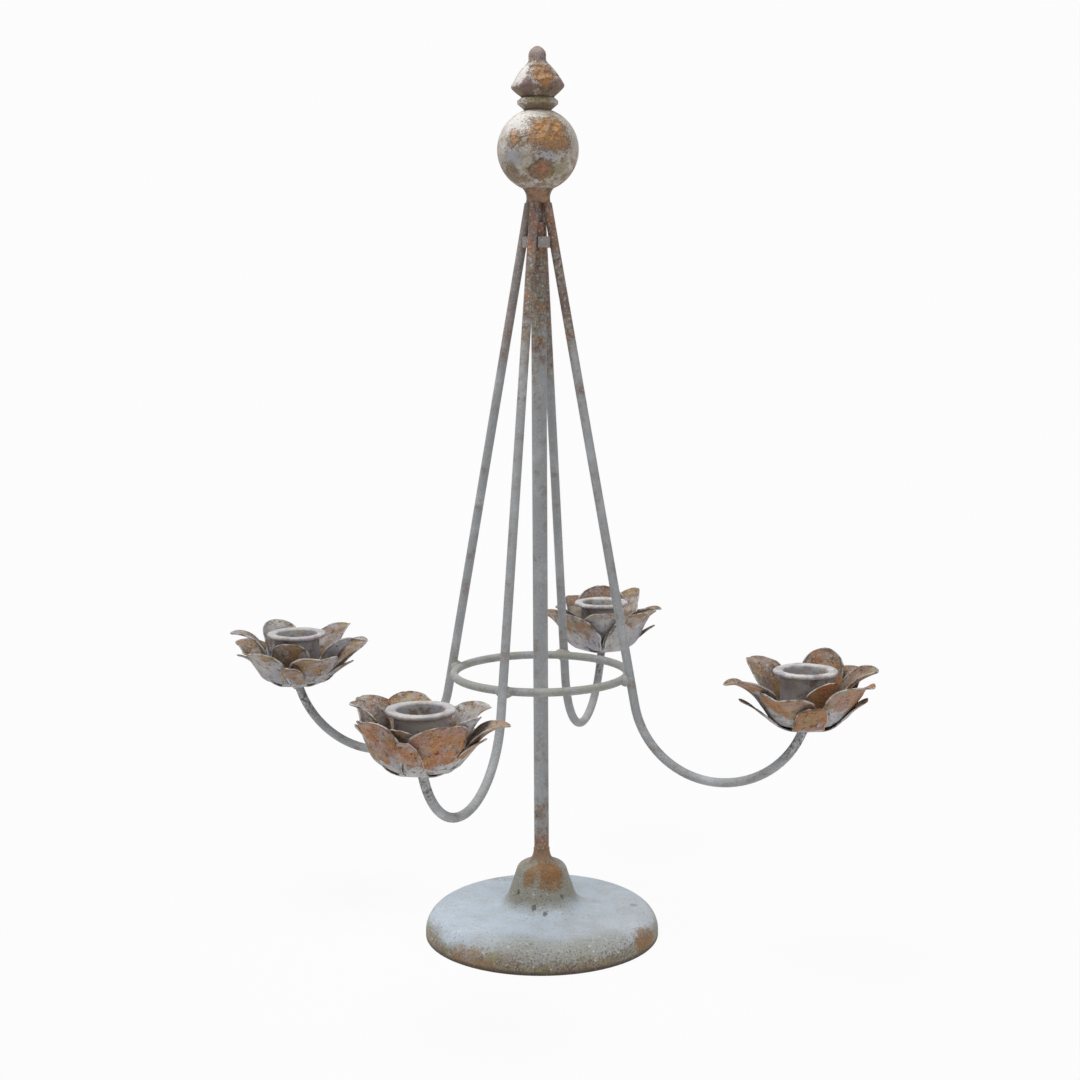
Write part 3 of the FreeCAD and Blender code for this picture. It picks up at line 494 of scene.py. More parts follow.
class Finish(Nodes):
    """Builds the node tree of one material. All scales are per metre."""

    def __init__(self, name):
        self.material = bpy.data.materials.new(name)
        self.material.use_nodes = True
        super().__init__(self.material.node_tree)
        self.place = self.node("ShaderNodeTexCoord", {}, {}, "Object")

    def noise(self, scale, detail, shift=(0, 0, 0), roughness=0.55, stretch=(1, 1, 1)):
        """Cloudy noise of 0 to 1."""
        moved = self.node("ShaderNodeMapping", {},
                          {"Vector": self.place, "Location": shift, "Scale": stretch}, "Vector")
        return self.node("ShaderNodeTexNoise", {},
                         {"Vector": moved, "Scale": scale, "Detail": detail, "Roughness": roughness}, 0)

    def fine(self, scale):
        """The unevenness of a brushed coat."""
        return self.noise(scale, 3, (3, 1, 2))

    def patches(self, scale, detail, shift, low, high, roughness=0.55, stretch=(1, 1, 1)):
        """Patches of cloudy noise, from 0 where it is at low to 1 where it is at high."""
        return self.noise(scale, detail, shift, roughness, stretch).step(low, high)

    def ragged(self, level, depth, scale, detail, shift, roughness=0.55):
        """A level made uneven by noise of the given depth, so that its steps have ragged borders."""
        return level + (self.noise(scale, detail, shift, roughness) - 0.5) * depth

    def spots(self, scale, shift):
        """Distance to scattered points, for pits."""
        moved = self.node("ShaderNodeMapping", {}, {"Vector": self.place, "Location": shift}, "Vector")
        return self.node("ShaderNodeTexVoronoi", {}, {"Vector": moved, "Scale": scale}, "Distance")

    def near(self, point, size, flat=1.0, uneven=0.5):
        """1 near a point, 0 further off than the size, with a ragged border. Flat presses it in height."""
        kind = "ShaderNodeVectorMath"
        apart = self.node(kind, {"operation": "SUBTRACT"}, {0: self.place, 1: point}, "Vector")
        apart = self.node(kind, {"operation": "MULTIPLY"}, {0: apart, 1: (1, 1, flat)}, "Vector")
        distance = self.node(kind, {"operation": "LENGTH"}, {0: apart}, "Value")
        distance = self.ragged(distance, uneven * 3.2 * size, 1.1 / size, 5, (point[0] * 90, 3, 1), 0.6)
        distance = self.ragged(distance, uneven * 2.2 * size, 900, 3, (2, point[1] * 70, 5), 0.6)
        return distance.step(size * 1.04, size * 0.62)

    def axis(self, name):
        """One coordinate of the place on the object, in metres."""
        return self.node("ShaderNodeSeparateXYZ", {}, {"Vector": self.place}, name)

    def outward(self):
        """Distance from the pole's axis, in metres."""
        across, along = self.axis("X"), self.axis("Y")
        return self.math("SQRT", across * across + along * along, 0)

    def attribute(self, name):
        return self.node("ShaderNodeAttribute", {"attribute_name": name}, {}, "Fac")

    def facing_up(self):
        """Height part of the surface's normal."""
        normal = self.node("ShaderNodeNewGeometry", {}, {}, "Normal")
        return self.node("ShaderNodeSeparateXYZ", {}, {"Vector": normal}, "Z")

    def grain(self, base, pale, dark, seed):
        """Break a colour up with pale flecks and dark pits of a millimetre and less."""
        tint = settings().colours
        flecks = self.patches(1250, 3, (seed, 5.5, 2), 0.56, 0.68, 0.6)
        pits = self.patches(950, 4, (4, seed, 7.5), 0.57, 0.69, 0.65)
        return self.mix(self.mix(base, tint.worn, flecks * pale), tint.dark, pits * dark)

    def rust(self, seed, redness):
        """Crumbling rust: ochre to orange, with brown and dark cracks."""
        tint = settings().colours
        base = self.mix(tint.ochre, tint.orange, self.patches(150, 3, (seed, 2, 4), 0.42, 0.62) * redness)
        base = self.mix(base, tint.brown, self.patches(330, 4, (8, 2, seed), 0.48, 0.62, 0.6) * 0.75)
        return self.mix(base, tint.dark, self.patches(380, 6, (seed, 3, 3), 0.54, 0.63, 0.75) * 0.6)

    def close(self, base, roughness, height, depth, metallic=0.0):
        """Join colour, roughness and bump to the shader."""
        bump = {"Height": height, "Distance": depth, "Strength": 1.0}
        inputs = {"Base Color": base, "Roughness": roughness, "Metallic": metallic, "Specular IOR Level": 0.3,
                  "Normal": self.node("ShaderNodeBump", {}, bump, "Normal")}
        shader = self.node("ShaderNodeBsdfPrincipled", {}, inputs, 0)
        self.node("ShaderNodeOutputMaterial", {}, {"Surface": shader})
        return self.material


def paint_nodes(material, *names):
    """Give CAD nodes a material in place of their plain one."""
    for name in names:
        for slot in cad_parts[name].material_slots:
            slot.material = material


def add_piece(name, mesh, material, slot, *nodes):
    """Link a finished mesh as a piece that stands for CAD nodes."""
    mesh.materials.append(material)
    mesh.polygons.foreach_set("use_smooth", [True] * len(mesh.polygons))
    piece = bpy.data.objects.new(name, mesh)
    bpy.context.scene.collection.objects.link(piece)
    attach(piece, "root")
    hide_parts(*nodes)
    return piece


def finish_mesh(work, name):
    mesh = bpy.data.meshes.new(name)
    work.to_mesh(mesh)
    work.free()
    return mesh


def close_surface(work):
    """Join vertices that meet and turn the faces outwards."""
    bmesh.ops.remove_doubles(work, verts=work.verts, dist=JOIN)
    bmesh.ops.recalc_face_normals(work, faces=work.faces)


def rod_finish(name, top_rust, stained=0.0):
    """Grey paint on steel rod, rusted under the neck and over the foot, rough at the flowers' welds."""
    tint = settings().colours
    paint = Finish(name)
    high = paint.axis("Z")
    clouds = paint.noise(60, 4)
    fine = paint.fine(900)
    base = paint.mix(tint.rod, tint.rod_pale, clouds.step(0.48, 0.75) * 0.5)
    base = paint.mix(base, tint.moss, paint.patches(90, 4, (4, 4, 8), 0.36, 0.6) * stained)
    base = paint.mix(base, tint.brown, paint.patches(130, 5, (7, 2, 5), 0.54, 0.68, 0.6) * 0.45)
    base = paint.grain(base, 0.35, 0.3, 1.0)
    # Lumps and spatter of weld near the flowers
    reach = paint.ragged(paint.outward(), 0.012, 200, 3, (1, 7, 7))
    welded = reach.step(*WELD_REACH) * high.step(*WELD_HEIGHT)
    lumps = paint.noise(520, 5, (6, 6, 2), 0.7)
    base = paint.mix(base, tint.dark, welded * lumps.step(0.50, 0.60) * 0.7)
    base = paint.mix(base, tint.worn, welded * lumps.step(0.46, 0.38) * 0.6)
    # Rust of brown, moss and plum with specks, more orange at the neck and the foot
    uneven = paint.ragged(high, 0.16, 130, 5, (5, 5, 5), 0.65)
    rusted = (uneven.step(*NECK_RUST) * top_rust).over(uneven.step(*FOOT_RUST))
    warmer = paint.ragged(high, 0.05, 70, 3, (8, 3, 6)).step(*ORANGE_NECK).over(high.step(*ORANGE_FOOT))
    rust = paint.mix(tint.brown, tint.moss, paint.patches(180, 4, (2, 2, 9), 0.42, 0.6) * 0.7)
    rust = paint.mix(rust, tint.plum, paint.patches(150, 4, (5, 2, 1), 0.46, 0.62) * 0.55)
    rust = paint.mix(rust, tint.orange, warmer * paint.patches(120, 4, (3, 9, 2), 0.40, 0.58) * 0.5)
    rust = paint.mix(rust, tint.ochre, paint.patches(170, 5, (6, 9, 4), 0.54, 0.64, 0.6) * 0.55)
    rust = paint.mix(rust, tint.dark, paint.patches(430, 5, (9, 1, 1), 0.52, 0.62, 0.7) * 0.7)
    rust = paint.mix(rust, tint.rod_pale, paint.patches(760, 5, (1, 8, 3), 0.54, 0.62, 0.65) * 0.65)
    base = paint.mix(base, rust, rusted * 0.92)
    height = fine * 0.5 + clouds * 0.5 + welded * lumps * 1.2 + rusted * paint.noise(480, 4, (6, 3, 3)) * 0.9
    return paint.close(base, fine * 0.15 + 0.55, height, 0.0007)


def foot_finish(name):
    """Cool grey paint with rust along the rim and a stain on the hub."""
    tint = settings().colours
    paint = Finish(name)
    across, along, high = (paint.axis(axis) for axis in "XYZ")
    clouds = paint.noise(38, 4)
    fine = paint.fine(700)
    base = paint.mix(tint.foot, tint.rod, clouds.step(0.5, 0.75) * 0.45)
    streaks = paint.noise(130, 5, (2, 7, 1), 0.6, stretch=(0.6, 2.2, 1))
    base = paint.mix(base, tint.worn, streaks.step(0.55, 0.7) * 0.55)
    # Painted light: the foot's side towards +X is made paler
    base = paint.mix(base, tint.worn, across.step(*DISH_PAINTED_LIGHT_SIDE) * 0.28)
    # Moss on the hub and towards the rim, and moss along the front, darkened there as painted shade
    low = high.step(*DISH_FALL)
    forward = across * FORWARD[0] + along * FORWARD[1] + paint.outward() * FORWARD[2]
    front = paint.ragged(forward, 0.02, 55, 4, (2, 2, 9)).step(*DISH_SHADED_FRONT)
    moss_and_front_shade = (low * 0.6 + paint.noise(42, 4, (6, 2, 2)) - 0.5).step(0.08, 0.5).over(front * 0.9)
    hub = paint.ragged(high, 0.012, 90, 4, (2, 6, 3)).step(*HUB_FILM)
    base = paint.mix(base, tint.moss, (moss_and_front_shade * 0.85).over(hub * 0.92))
    # Dirt and specks
    dirt = paint.mix(tint.brown, tint.olive, paint.patches(70, 3, (3, 8, 8), 0.4, 0.6))
    base = paint.mix(base, dirt, (low * 0.5 + paint.noise(60, 4, (4, 2, 7)) - 0.5).step(0.22, 0.55) * 0.65)
    specks = paint.noise(900, 4, (1, 4, 4), 0.65) + low * 0.12 + moss_and_front_shade * 0.05 + hub * 0.07
    speck = paint.mix(dirt, tint.dark, paint.patches(300, 3, (8, 1, 8), 0.4, 0.6) * 0.7)
    base = paint.mix(base, speck, specks.step(0.60, 0.70) * 0.8)
    base = paint.mix(base, tint.worn, paint.patches(520, 4, (5, 9, 1), 0.60, 0.68, 0.6) * 0.55)
    # Marks with a place of their own
    for point, size, flat, strength in FOOT_STAINS:
        stain = paint.mix(paint.rust(point[0] * 100, 0.2), tint.dark, 0.38)
        base = paint.mix(base, stain, paint.near(point, size, flat) * strength)
    for point, size in HUB_PITS:
        base = paint.mix(base, tint.dark, paint.near(point, size, 0.7, 0.45) * 0.75)
    base = paint.mix(base, tint.dark, paint.near(FOOT_CHIP, CHIP_BORDER, 0.6, 0.15) * 0.45)
    base = paint.mix(base, tint.worn, paint.near(FOOT_CHIP, CHIP_SIZE, 0.6, 0.15) * 0.7)
    weld = paint.ragged(high, 0.012, 160, 4, (4, 4, 2)).step(*POLE_WELD)
    base = paint.mix(base, paint.mix(paint.rust(7.0, 0.2), tint.brown, 0.6), weld * 0.8)
    base = paint.mix(base, tint.dark, high.step(*DISH_EDGE) * 0.85)
    base = paint.grain(base, 0.2, 0.22, 3.0)
    height = fine * 0.4 + clouds * 0.4 + specks * 0.7 + streaks * 0.4
    return paint.close(base, fine * 0.2 + 0.45, height, 0.0008)


def finial_finish(name, marks, wash, speckled):
    """Chalky wash over rust: patches that are given one by one, and specks all over."""
    tint = settings().colours
    paint = Finish(name)
    fine = paint.fine(800)
    base = paint.mix(wash, tint.worn, paint.patches(90, 4, (1, 5, 2), 0.48, 0.68) * 0.5)
    base = paint.mix(base, tint.ochre, paint.patches(190, 5, (2, 3, 8), 0.55, 0.66, 0.7) * 0.45)
    stains = paint.noise(230, 5, (7, 7, 1), 0.7)
    # Painted shade: the underside of ball, neck, collar and tip gets more olive and brown
    underside_shade = paint.facing_up().step(*FINIAL_PAINTED_SHADE)
    height = fine * 0.5 + stains * 0.5
    for point, size, flat, tone, strength in marks:
        mark = paint.near(point, size, flat)
        layer = getattr(tint, tone)
        if tone in ("ochre", "red"):
            old = paint.patches(260, 4, (point[1] * 90, 4, 4), 0.46, 0.62, 0.7)
            redness = 1.0 if tone == "red" else 0.3
            layer = paint.mix(paint.rust(point[0] * 130, redness), tint.brown, old * 0.45)
            height = height + mark * paint.spots(330, (2, 2, 6)) * 1.6
        base = paint.mix(base, layer, mark * strength)
    # Olive and brown stains are real all over, and are made denser on the underside as painted shade
    olive_and_underside_shade = underside_shade * 0.08 + paint.noise(210, 5, (4, 1, 8), 0.7)
    base = paint.mix(base, tint.olive, olive_and_underside_shade.step(0.55, 0.66) * 0.6)
    base = paint.mix(base, tint.brown, (stains + speckled * 0.2 + underside_shade * 0.14).step(0.60, 0.71) * 0.8)
    base = paint.grain(base, 0.16, 0.75, 5.0)
    return paint.close(base, fine * 0.2 + 0.55, height, 0.0010)


def petal_finish(name, seed, dull, muted, shade):
    """Outside: pale wash below a ragged border, rust above it. Inside: brown with scratches. Worn edges, with
    painted shade just inside them.
    """
    tint = settings().colours
    paint = Finish(name)
    along, rim, rusty, warm = (paint.attribute(layer) for layer in ("along", "rim", "rusty", "warm"))
    clouds = paint.noise(75, 4, (seed * 1.7, seed * 0.9, seed * 2.3))
    fine = paint.fine(600)
    wash = paint.mix(tint.white, tint.lavender, clouds.step(0.42, 0.6))
    wash = paint.mix(wash, tint.brown, paint.patches(190, 5, (1, 6, seed), 0.53, 0.66, 0.65) * 0.7)
    wash = paint.mix(wash, tint.dark, shade)
    redder = rusty.step(0.78, 0.9) * paint.patches(85, 3, (5, seed, 1), 0.52, 0.62)
    rust = paint.mix(paint.rust(seed, 0.7), tint.red, redder * 0.5)
    rust = paint.mix(rust, tint.olive, paint.patches(80, 3, (9, seed, 2), 0.56, 0.66) * 0.6)
    drab = paint.mix(tint.brown, tint.olive, paint.patches(130, 4, (1, 2, seed), 0.45, 0.6))
    rust = paint.mix(rust, drab, muted)
    border = (paint.ragged(along, 0.7, 120, 5, (seed, seed, 1), 0.6) + rusty * 0.9).step(1.06, 1.12)
    outer = paint.mix(wash, rust, border * 0.92)
    browned = warm * 0.5 + paint.noise(160, 5, (2, seed, 7), 0.65)
    inner = paint.mix(wash, tint.brown, browned.step(0.5, 0.72))
    rusting = warm * 0.22 + paint.noise(140, 4, (4, seed, 9), 0.6)
    inner = paint.mix(inner, rust, rusting.step(0.6, 0.74) * 0.85)
    inner = paint.mix(inner, tint.olive, paint.patches(90, 3, (9, 4, seed), 0.54, 0.64) * 0.55)
    scratches = paint.patches(300, 5, (seed, 4, 4), 0.54, 0.64, 0.7, stretch=(1, 1, 0.45))
    inner = paint.mix(inner, tint.white, scratches * 0.6)
    base = paint.mix(inner, outer, paint.facing_up().step(*PETAL_OUTSIDE))
    greyed = paint.patches(105, 4, (6, seed, 3), 0.42, 0.58, 0.6) * dull * (1 - rusty.step(0.85, 1.0))
    base = paint.mix(base, wash, greyed)
    cracks = paint.patches(300, 6, (4, 4, seed), 0.58, 0.66, 0.75)
    base = paint.mix(base, tint.dark, cracks * 0.6)
    base = paint.grain(base, 0.32, 0.6, seed)
    # Painted shade: a dark band, in patches, just inside the petals' edges, for their dark outlines
    edge_outline_shade = rim.step(0.80, 0.9) * paint.patches(150, 4, (3, 6, seed), 0.45, 0.6)
    base = paint.mix(base, tint.dark, edge_outline_shade * 0.6)
    rubbed = rim.step(0.90, 0.98) * paint.patches(190, 3, (6, 6, seed), 0.40, 0.58)
    base = paint.mix(base, tint.worn, rubbed * 0.6)
    height = fine * 0.35 + clouds * 0.4 - cracks * 0.7 + scratches * 0.3 + border * 0.4
    return paint.close(base, fine * 0.2 + 0.55, height, 0.0006)


def cup_finish(name, seed, bright):
    """Pale wash, brighter on the rim, stained below it."""
    tint = settings().colours
    paint = Finish(name)
    from_top = paint.axis("Z") - settings().flower.cup_top
    clouds = paint.noise(80, 4, (seed, 1, 1))
    fine = paint.fine(700)
    base = paint.mix(tint.lavender, tint.white, clouds.step(0.4, 0.62) * 0.9)
    rim = from_top.step(*RIM_FALL)
    base = paint.mix(base, tint.worn, rim * paint.patches(220, 4, (2, 5, seed), 0.4, 0.58) * bright)
    stain = paint.noise(120, 5, (7, seed, 4), 0.65) + from_top.step(*STAIN_FALL) * 0.06
    base = paint.mix(base, tint.brown, stain.step(0.57, 0.67) * (1 - rim * 0.5) * 0.75)
    base = paint.mix(base, tint.ochre, paint.patches(170, 4, (seed, 7, 4), 0.58, 0.68) * 0.4)
    base = paint.grain(base, 0.35, 0.45, seed)
    return paint.close(base, fine * 0.2 + 0.5, fine * 0.4 + clouds * 0.5 - stain * 0.3, 0.0006)


def steel_finish(name):
    """Bare steel with a brown film."""
    tint = settings().colours
    paint = Finish(name)
    fine = paint.noise(600, 3)
    base = paint.mix(tint.steel, tint.brown, paint.patches(200, 4, (1, 1, 4), 0.5, 0.7) * 0.5)
    return paint.close(base, fine * 0.25 + 0.35, fine, 0.0003, 0.9)


def petal_path(sizes, slope, tip_slope, reach, rows):
    """Points (radius, height, slope) along a petal's middle line, from the rivet hole to the tip."""
    hole = settings().flower.hole
    steps = PATH_STEPS * rows
    arc = sizes.bend * max(slope, LEAST_BEND)
    length = reach
    for _ in range(REACH_TRIES):
        points = []
        radius, height = hole, 0.0
        step = length / steps
        for number in range(steps + 1):
            travelled = number * step
            bend_share = min(max((travelled - sizes.flat + hole) / arc, 0), 1)
            flare_share = min(max((number / steps - 1 + sizes.flare) / sizes.flare, 0), 1)
            angle = slope * bend_share + (tip_slope - slope) * flare_share * bend_share
            points.append((radius, height, angle))
            radius += step * math.cos(angle)
            height += step * math.sin(angle)
        length *= reach / points[-1][0]
    return points[::PATH_STEPS]


def fitting_path(sizes, tip_slope, reach, rise, rows):
    """The petal's path whose tip lies at the wanted reach and rise over the sheet's seat."""
    low, high = FLATTEST, STEEPEST
    for _ in range(RISE_TRIES):
        slope = (low + high) / 2
        path = petal_path(sizes, slope, tip_slope, reach, rows)
        low, high = (slope, high) if path[-1][1] < rise else (low, slope)
    return path


def half_width(sizes, petal, radius, along):
    """Half of a petal's width at a radius, or at a share of its free length."""
    sector = radius * math.tan(SECTOR)
    if along <= 0:
        return sector
    start = sizes.root * math.tan(SECTOR) * START_SHARE
    widest = sizes.half_width * petal["wide"]
    if along < sizes.widest:
        rise = along / sizes.widest
        return min(start + (widest - start) * rise * (2 - rise), sector)
    fall = (along - sizes.widest) / (1 - sizes.widest)
    return sizes.tip + (widest - sizes.tip) * (1 - fall ** petal["round"]) ** TIP_POWER


def shape_petal(work, sizes, petal, angle, centre, layers):
    """Add one petal with its share of the middle disc, bent as the table says."""
    flower = settings().flower
    rows = flower.rows
    tip_rise = flower.cup_top + petal["rise"] - sizes.seat
    plain = petal_path(sizes, sizes.slope, sizes.tip_slope, sizes.reach, rows)
    bent = fitting_path(sizes, petal["tip_slope"], petal["reach"], tip_rise, rows)
    root = next(row for row, point in enumerate(plain) if point[0] > sizes.root) / rows
    made = bmesh.ops.create_grid(work, x_segments=rows, y_segments=flower.columns, size=1.0)
    for vertex in made["verts"]:
        row = round((vertex.co.x + 1) / 2 * rows)
        side = vertex.co.y
        free = max((row / rows - root) / (1 - root), 0)
        loose = min(free * LOOSENING, 1)
        cupped = min(free * CUPPING_ONSET, 1)
        radius, height, slope = (flat + (own - flat) * loose for flat, own in zip(plain[row], bent[row]))
        width = half_width(sizes, petal, plain[row][0], free)
        width *= 1 + EDGE_WAVE * noise.noise((free * EDGE_ALONG, side * EDGE_ACROSS, petal["seed"])) * loose
        across = side * width
        dent = (across * DENTS_PER_METRE, radius * DENTS_PER_METRE, petal["seed"] * 3.1)
        rise = sizes.cupping * petal["cup"] * width * side * side * cupped
        rise += petal["twist"] * across * free + petal["roll"] * abs(side) ** 4 * width * free
        rise += noise.noise(dent) * flower.dents * cupped
        swing = Matrix.Rotation(angle + math.radians(petal["turn"]) * free, 3, "Z")
        radius -= rise * math.sin(slope)
        height += sizes.seat + rise * math.cos(slope)
        vertex.co = swing @ Vector((radius, across, height)) + centre
        vertex[layers["along"]] = free
        vertex[layers["rim"]] = max(abs(side), free ** 4) if free > 0 else 0.0
        vertex[layers["rusty"]] = petal["rusty"]
        vertex[layers["warm"]] = petal["warm"]


def petal_table(arm, kind, number):
    """How one petal is bent: seeded small differences, with the bends that stand out given one by one."""
    rng = random.Random(f"{arm}-{kind}-{number}")
    sizes = getattr(settings(), kind)
    flower = settings().flower
    plain = petal_path(sizes, sizes.slope, sizes.tip_slope, sizes.reach, flower.rows)
    petal = {name: rng.uniform(*limits) for name, limits in SPREAD.items()}
    petal["reach"] *= sizes.reach
    petal["tip_slope"] = sizes.tip_slope + math.radians(petal["tip_slope"])
    petal["rise"] += sizes.seat + plain[-1][1] - flower.cup_top
    bend = BENDS[arm, kind].get(number)
    if bend is not None:
        reach, rise, tip_slope, others = bend
        petal.update(others, reach=reach / MM_PER_METRE, rise=rise / MM_PER_METRE,
                     tip_slope=math.radians(tip_slope))
    return petal


def flower_centre(arm):
    angle = math.radians(ARMS[arm])
    reach = settings().flower.reach
    return Vector((reach * math.cos(angle), reach * math.sin(angle), 0))


def make_rosette(arm, kind, label):
    """One sheet of five petals in a flower."""
    sizes = getattr(settings(), kind)
    work = bmesh.new()
    layers = {name: work.verts.layers.float.new(name) for name in ("along", "rim", "rusty", "warm")}
    for number in range(PETALS):
        angle = math.radians(TURNS[kind][arm]) + 2 * SECTOR * number
        shape_petal(work, sizes, petal_table(arm, kind, number), angle, flower_centre(arm), layers)
    close_surface(work)
    node = f"{label}_{arm}"
    mesh = finish_mesh(work, node + "_sheet")
    seed = list(ARMS).index(arm) + len(ARMS) * list(TURNS).index(kind)
    paint = petal_finish(node + "_paint", seed, *TONES[arm])
    piece = add_piece(node + "_sheet", mesh, paint, "petal_paint", node)
    thick = piece.modifiers.new("thickness", "SOLIDIFY")
    thick.thickness = settings().flower.sheet
    thick.offset = 1.0
    smooth = piece.modifiers.new("smooth", "SUBSURF")
    smooth.levels = 1
    smooth.render_levels = 1


def wrap_rings(work, rings):
    """A closed surface of rings (height, radius, power) about Z. Power 1 makes a square, 2 a circle."""
    last = len(rings) - 1
    made = bmesh.ops.create_grid(work, x_segments=TIP_SEGMENTS, y_segments=last, size=1.0)
    for vertex in made["verts"]:
        turn = (vertex.co.x + 1) * math.pi
        height, radius, power = rings[round((vertex.co.y + 1) / 2 * last)]
        across, along = math.cos(turn), math.sin(turn)
        reach = radius / (abs(across) ** power + abs(along) ** power) ** (1 / power)
        place = Vector((across * reach, along * reach, height))
        if radius > 0:
            place += Vector((across, along, 0)) * noise.noise(place * TIP_LUMPS_PER_METRE) * TIP_LUMP
        vertex.co = place
    close_surface(work)


def make_tip(material):
    """Hammered spear tip with soft edges."""
    foot = settings().finial.tip_foot
    rings = [(foot + rise / MM_PER_METRE, radius / MM_PER_METRE, power) for rise, radius, power in TIP_RINGS]
    work = bmesh.new()
    wrap_rings(work, rings)
    bmesh.ops.rotate(work, verts=work.verts, matrix=Matrix.Rotation(settings().finial.tip_turn, 3, "Z"))
    mesh = finish_mesh(work, "finial_tip_forged")
    add_piece("finial_tip_forged", mesh, material, "rusted_paint", "finial_tip")


def make_hoop_welds(material):
    """A soft lump of weld where each arm crosses the hoop."""
    sizes = settings().weld
    work = bmesh.new()
    for angle in ARMS.values():
        turn = Matrix.Rotation(math.radians(angle), 3, "Z")
        made = bmesh.ops.create_uvsphere(work, u_segments=WELD_SEGMENTS, v_segments=WELD_RINGS, radius=1.0)
        for vertex in made["verts"]:
            lump = 1 + WELD_LUMP * noise.noise(vertex.co * WELD_LUMPS + Vector((angle, 0, 0)))
            place = vertex.co * Vector((sizes.depth, sizes.length, sizes.height)) * lump
            vertex.co = turn @ (place + Vector((sizes.reach, 0, 0))) + Vector((0, 0, sizes.level))
    bmesh.ops.recalc_face_normals(work, faces=work.faces)
    mesh = finish_mesh(work, "hoop_welds_soft")
    add_piece("hoop_welds_soft", mesh, material, "grey_paint", "hoop_welds")


def cup_section(flower):
    """Corners (radius, height) of a cup's section, from the rivet hole round the wall and back."""
    outer = flower.cup_bore + flower.cup_wall
    under_rim, floor = flower.cup_top - flower.cup_lip, flower.cup_foot + flower.cup_wall
    return (
        (flower.hole, flower.cup_foot), (outer, flower.cup_foot), (outer, under_rim),
        (flower.cup_rim, under_rim), (flower.cup_rim, flower.cup_top), (flower.cup_bore, flower.cup_top),
        (flower.cup_bore, floor), (flower.hole, floor),
    )


def make_cup(arm):
    """Candle cup with a turned rim, slightly uneven."""
    flower = settings().flower
    work = bmesh.new()
    corners = [work.verts.new((radius, 0, height)) for radius, height in cup_section(flower)]
    for number, corner in enumerate(corners):
        work.edges.new((corner, corners[(number + 1) % len(corners)]))
    for number, size in CUP_ROUNDS.items():
        bmesh.ops.bevel(work, geom=[corners[number]], offset=size, offset_type="OFFSET",
                        segments=CUP_ROUND_STEPS, profile=0.5, affect="VERTICES", material=-1)
    bmesh.ops.spin(work, geom=work.verts[:] + work.edges[:], cent=(0, 0, 0), axis=(0, 0, 1),
                   angle=2 * math.pi, steps=CUP_STEPS, use_merge=True)
    close_surface(work)
    arm_angle = math.radians(ARMS[arm])
    dent_shift, wave_shift = Vector((arm_angle * 5, 0, 0)), Vector((0, arm_angle * 3, 7))
    for vertex in work.verts:
        reach = math.hypot(vertex.co.x, vertex.co.y)
        if reach > flower.cup_bore + flower.cup_wall - CUP_DENT_MARGIN:
            dent = noise.noise(vertex.co * CUP_DENTS_PER_METRE + dent_shift) * CUP_DENT
            vertex.co.x *= 1 + dent / reach
            vertex.co.y *= 1 + dent / reach
            vertex.co.z += noise.noise(vertex.co * CUP_WAVES_PER_METRE + wave_shift) * CUP_WAVE
        vertex.co += flower_centre(arm)
    node = f"candle_cup_{arm}"
    mesh = finish_mesh(work, node + "_bowl")
    add_piece(node + "_bowl", mesh, cup_finish(node + "_paint", arm_angle, RIMS[arm]), "cup_paint", node)


def make_floor():
    work = bmesh.new()
    bmesh.ops.create_grid(work, x_segments=2, y_segments=2, size=FLOOR_SIZE)
    mesh = finish_mesh(work, "studio_floor")
    floor = bpy.data.objects.new("studio_floor", mesh)
    bpy.context.scene.collection.objects.link(floor)
    paint = Finish("studio_floor")
    far = paint.outward().step(*SHADOW_REACH)
    matt = paint.node("ShaderNodeBsdfDiffuse", {}, {"Color": FLOOR_COLOUR}, 0)
    bright = paint.node("ShaderNodeEmission", {}, {"Color": settings().studio.backdrop}, 0)
    shader = paint.blend(matt, bright, (far * SHADOW_SHARE + (1 - SHADOW_SHARE)) * paint.seen())
    paint.node("ShaderNodeOutputMaterial", {}, {"Surface": shader})
    mesh.materials.append(paint.material)


def make_world():
    studio = settings().studio
    world = bpy.data.worlds.new("studio_world")
    world.use_nodes = True
    sky = Nodes(world.node_tree)
    ambient = sky.node("ShaderNodeBackground", {}, {"Color": SKY_COLOUR, "Strength": studio.ambient}, 0)
    white = sky.node("ShaderNodeBackground", {}, {"Color": studio.backdrop}, 0)
    sky.node("ShaderNodeOutputWorld", {}, {"Surface": sky.blend(ambient, white, sky.seen())})
    bpy.context.scene.world = world


def add_lamp(name, place, power, size):
    lamp = bpy.data.lights.new(name, "AREA")
    lamp.shape = "DISK"
    lamp.size = size
    lamp.energy = power
    holder = bpy.data.objects.new(name, lamp)
    holder.location = place
    holder.rotation_euler = (Vector(LAMP_AIM) - Vector(place)).to_track_quat("-Z", "Y").to_euler()
    bpy.context.scene.collection.objects.link(holder)


def make_camera():
    studio = settings().studio
    camera = bpy.data.cameras.new("photo_camera")
    camera.sensor_width = SENSOR
    camera.lens = studio.lens
    camera.clip_end = FARTHEST
    holder = bpy.data.objects.new("photo_camera", camera)
    round_pole = Matrix.Rotation(studio.azimuth, 3, "Z")
    holder.location = round_pole @ Vector((0, -studio.distance, studio.height))
    aim = round_pole @ Matrix.Rotation(math.pi / 2 - studio.pitch, 3, "X")
    holder.rotation_euler = (aim @ Matrix.Rotation(studio.roll, 3, "Z")).to_euler()
    bpy.context.scene.collection.objects.link(holder)
    bpy.context.scene.camera = holder


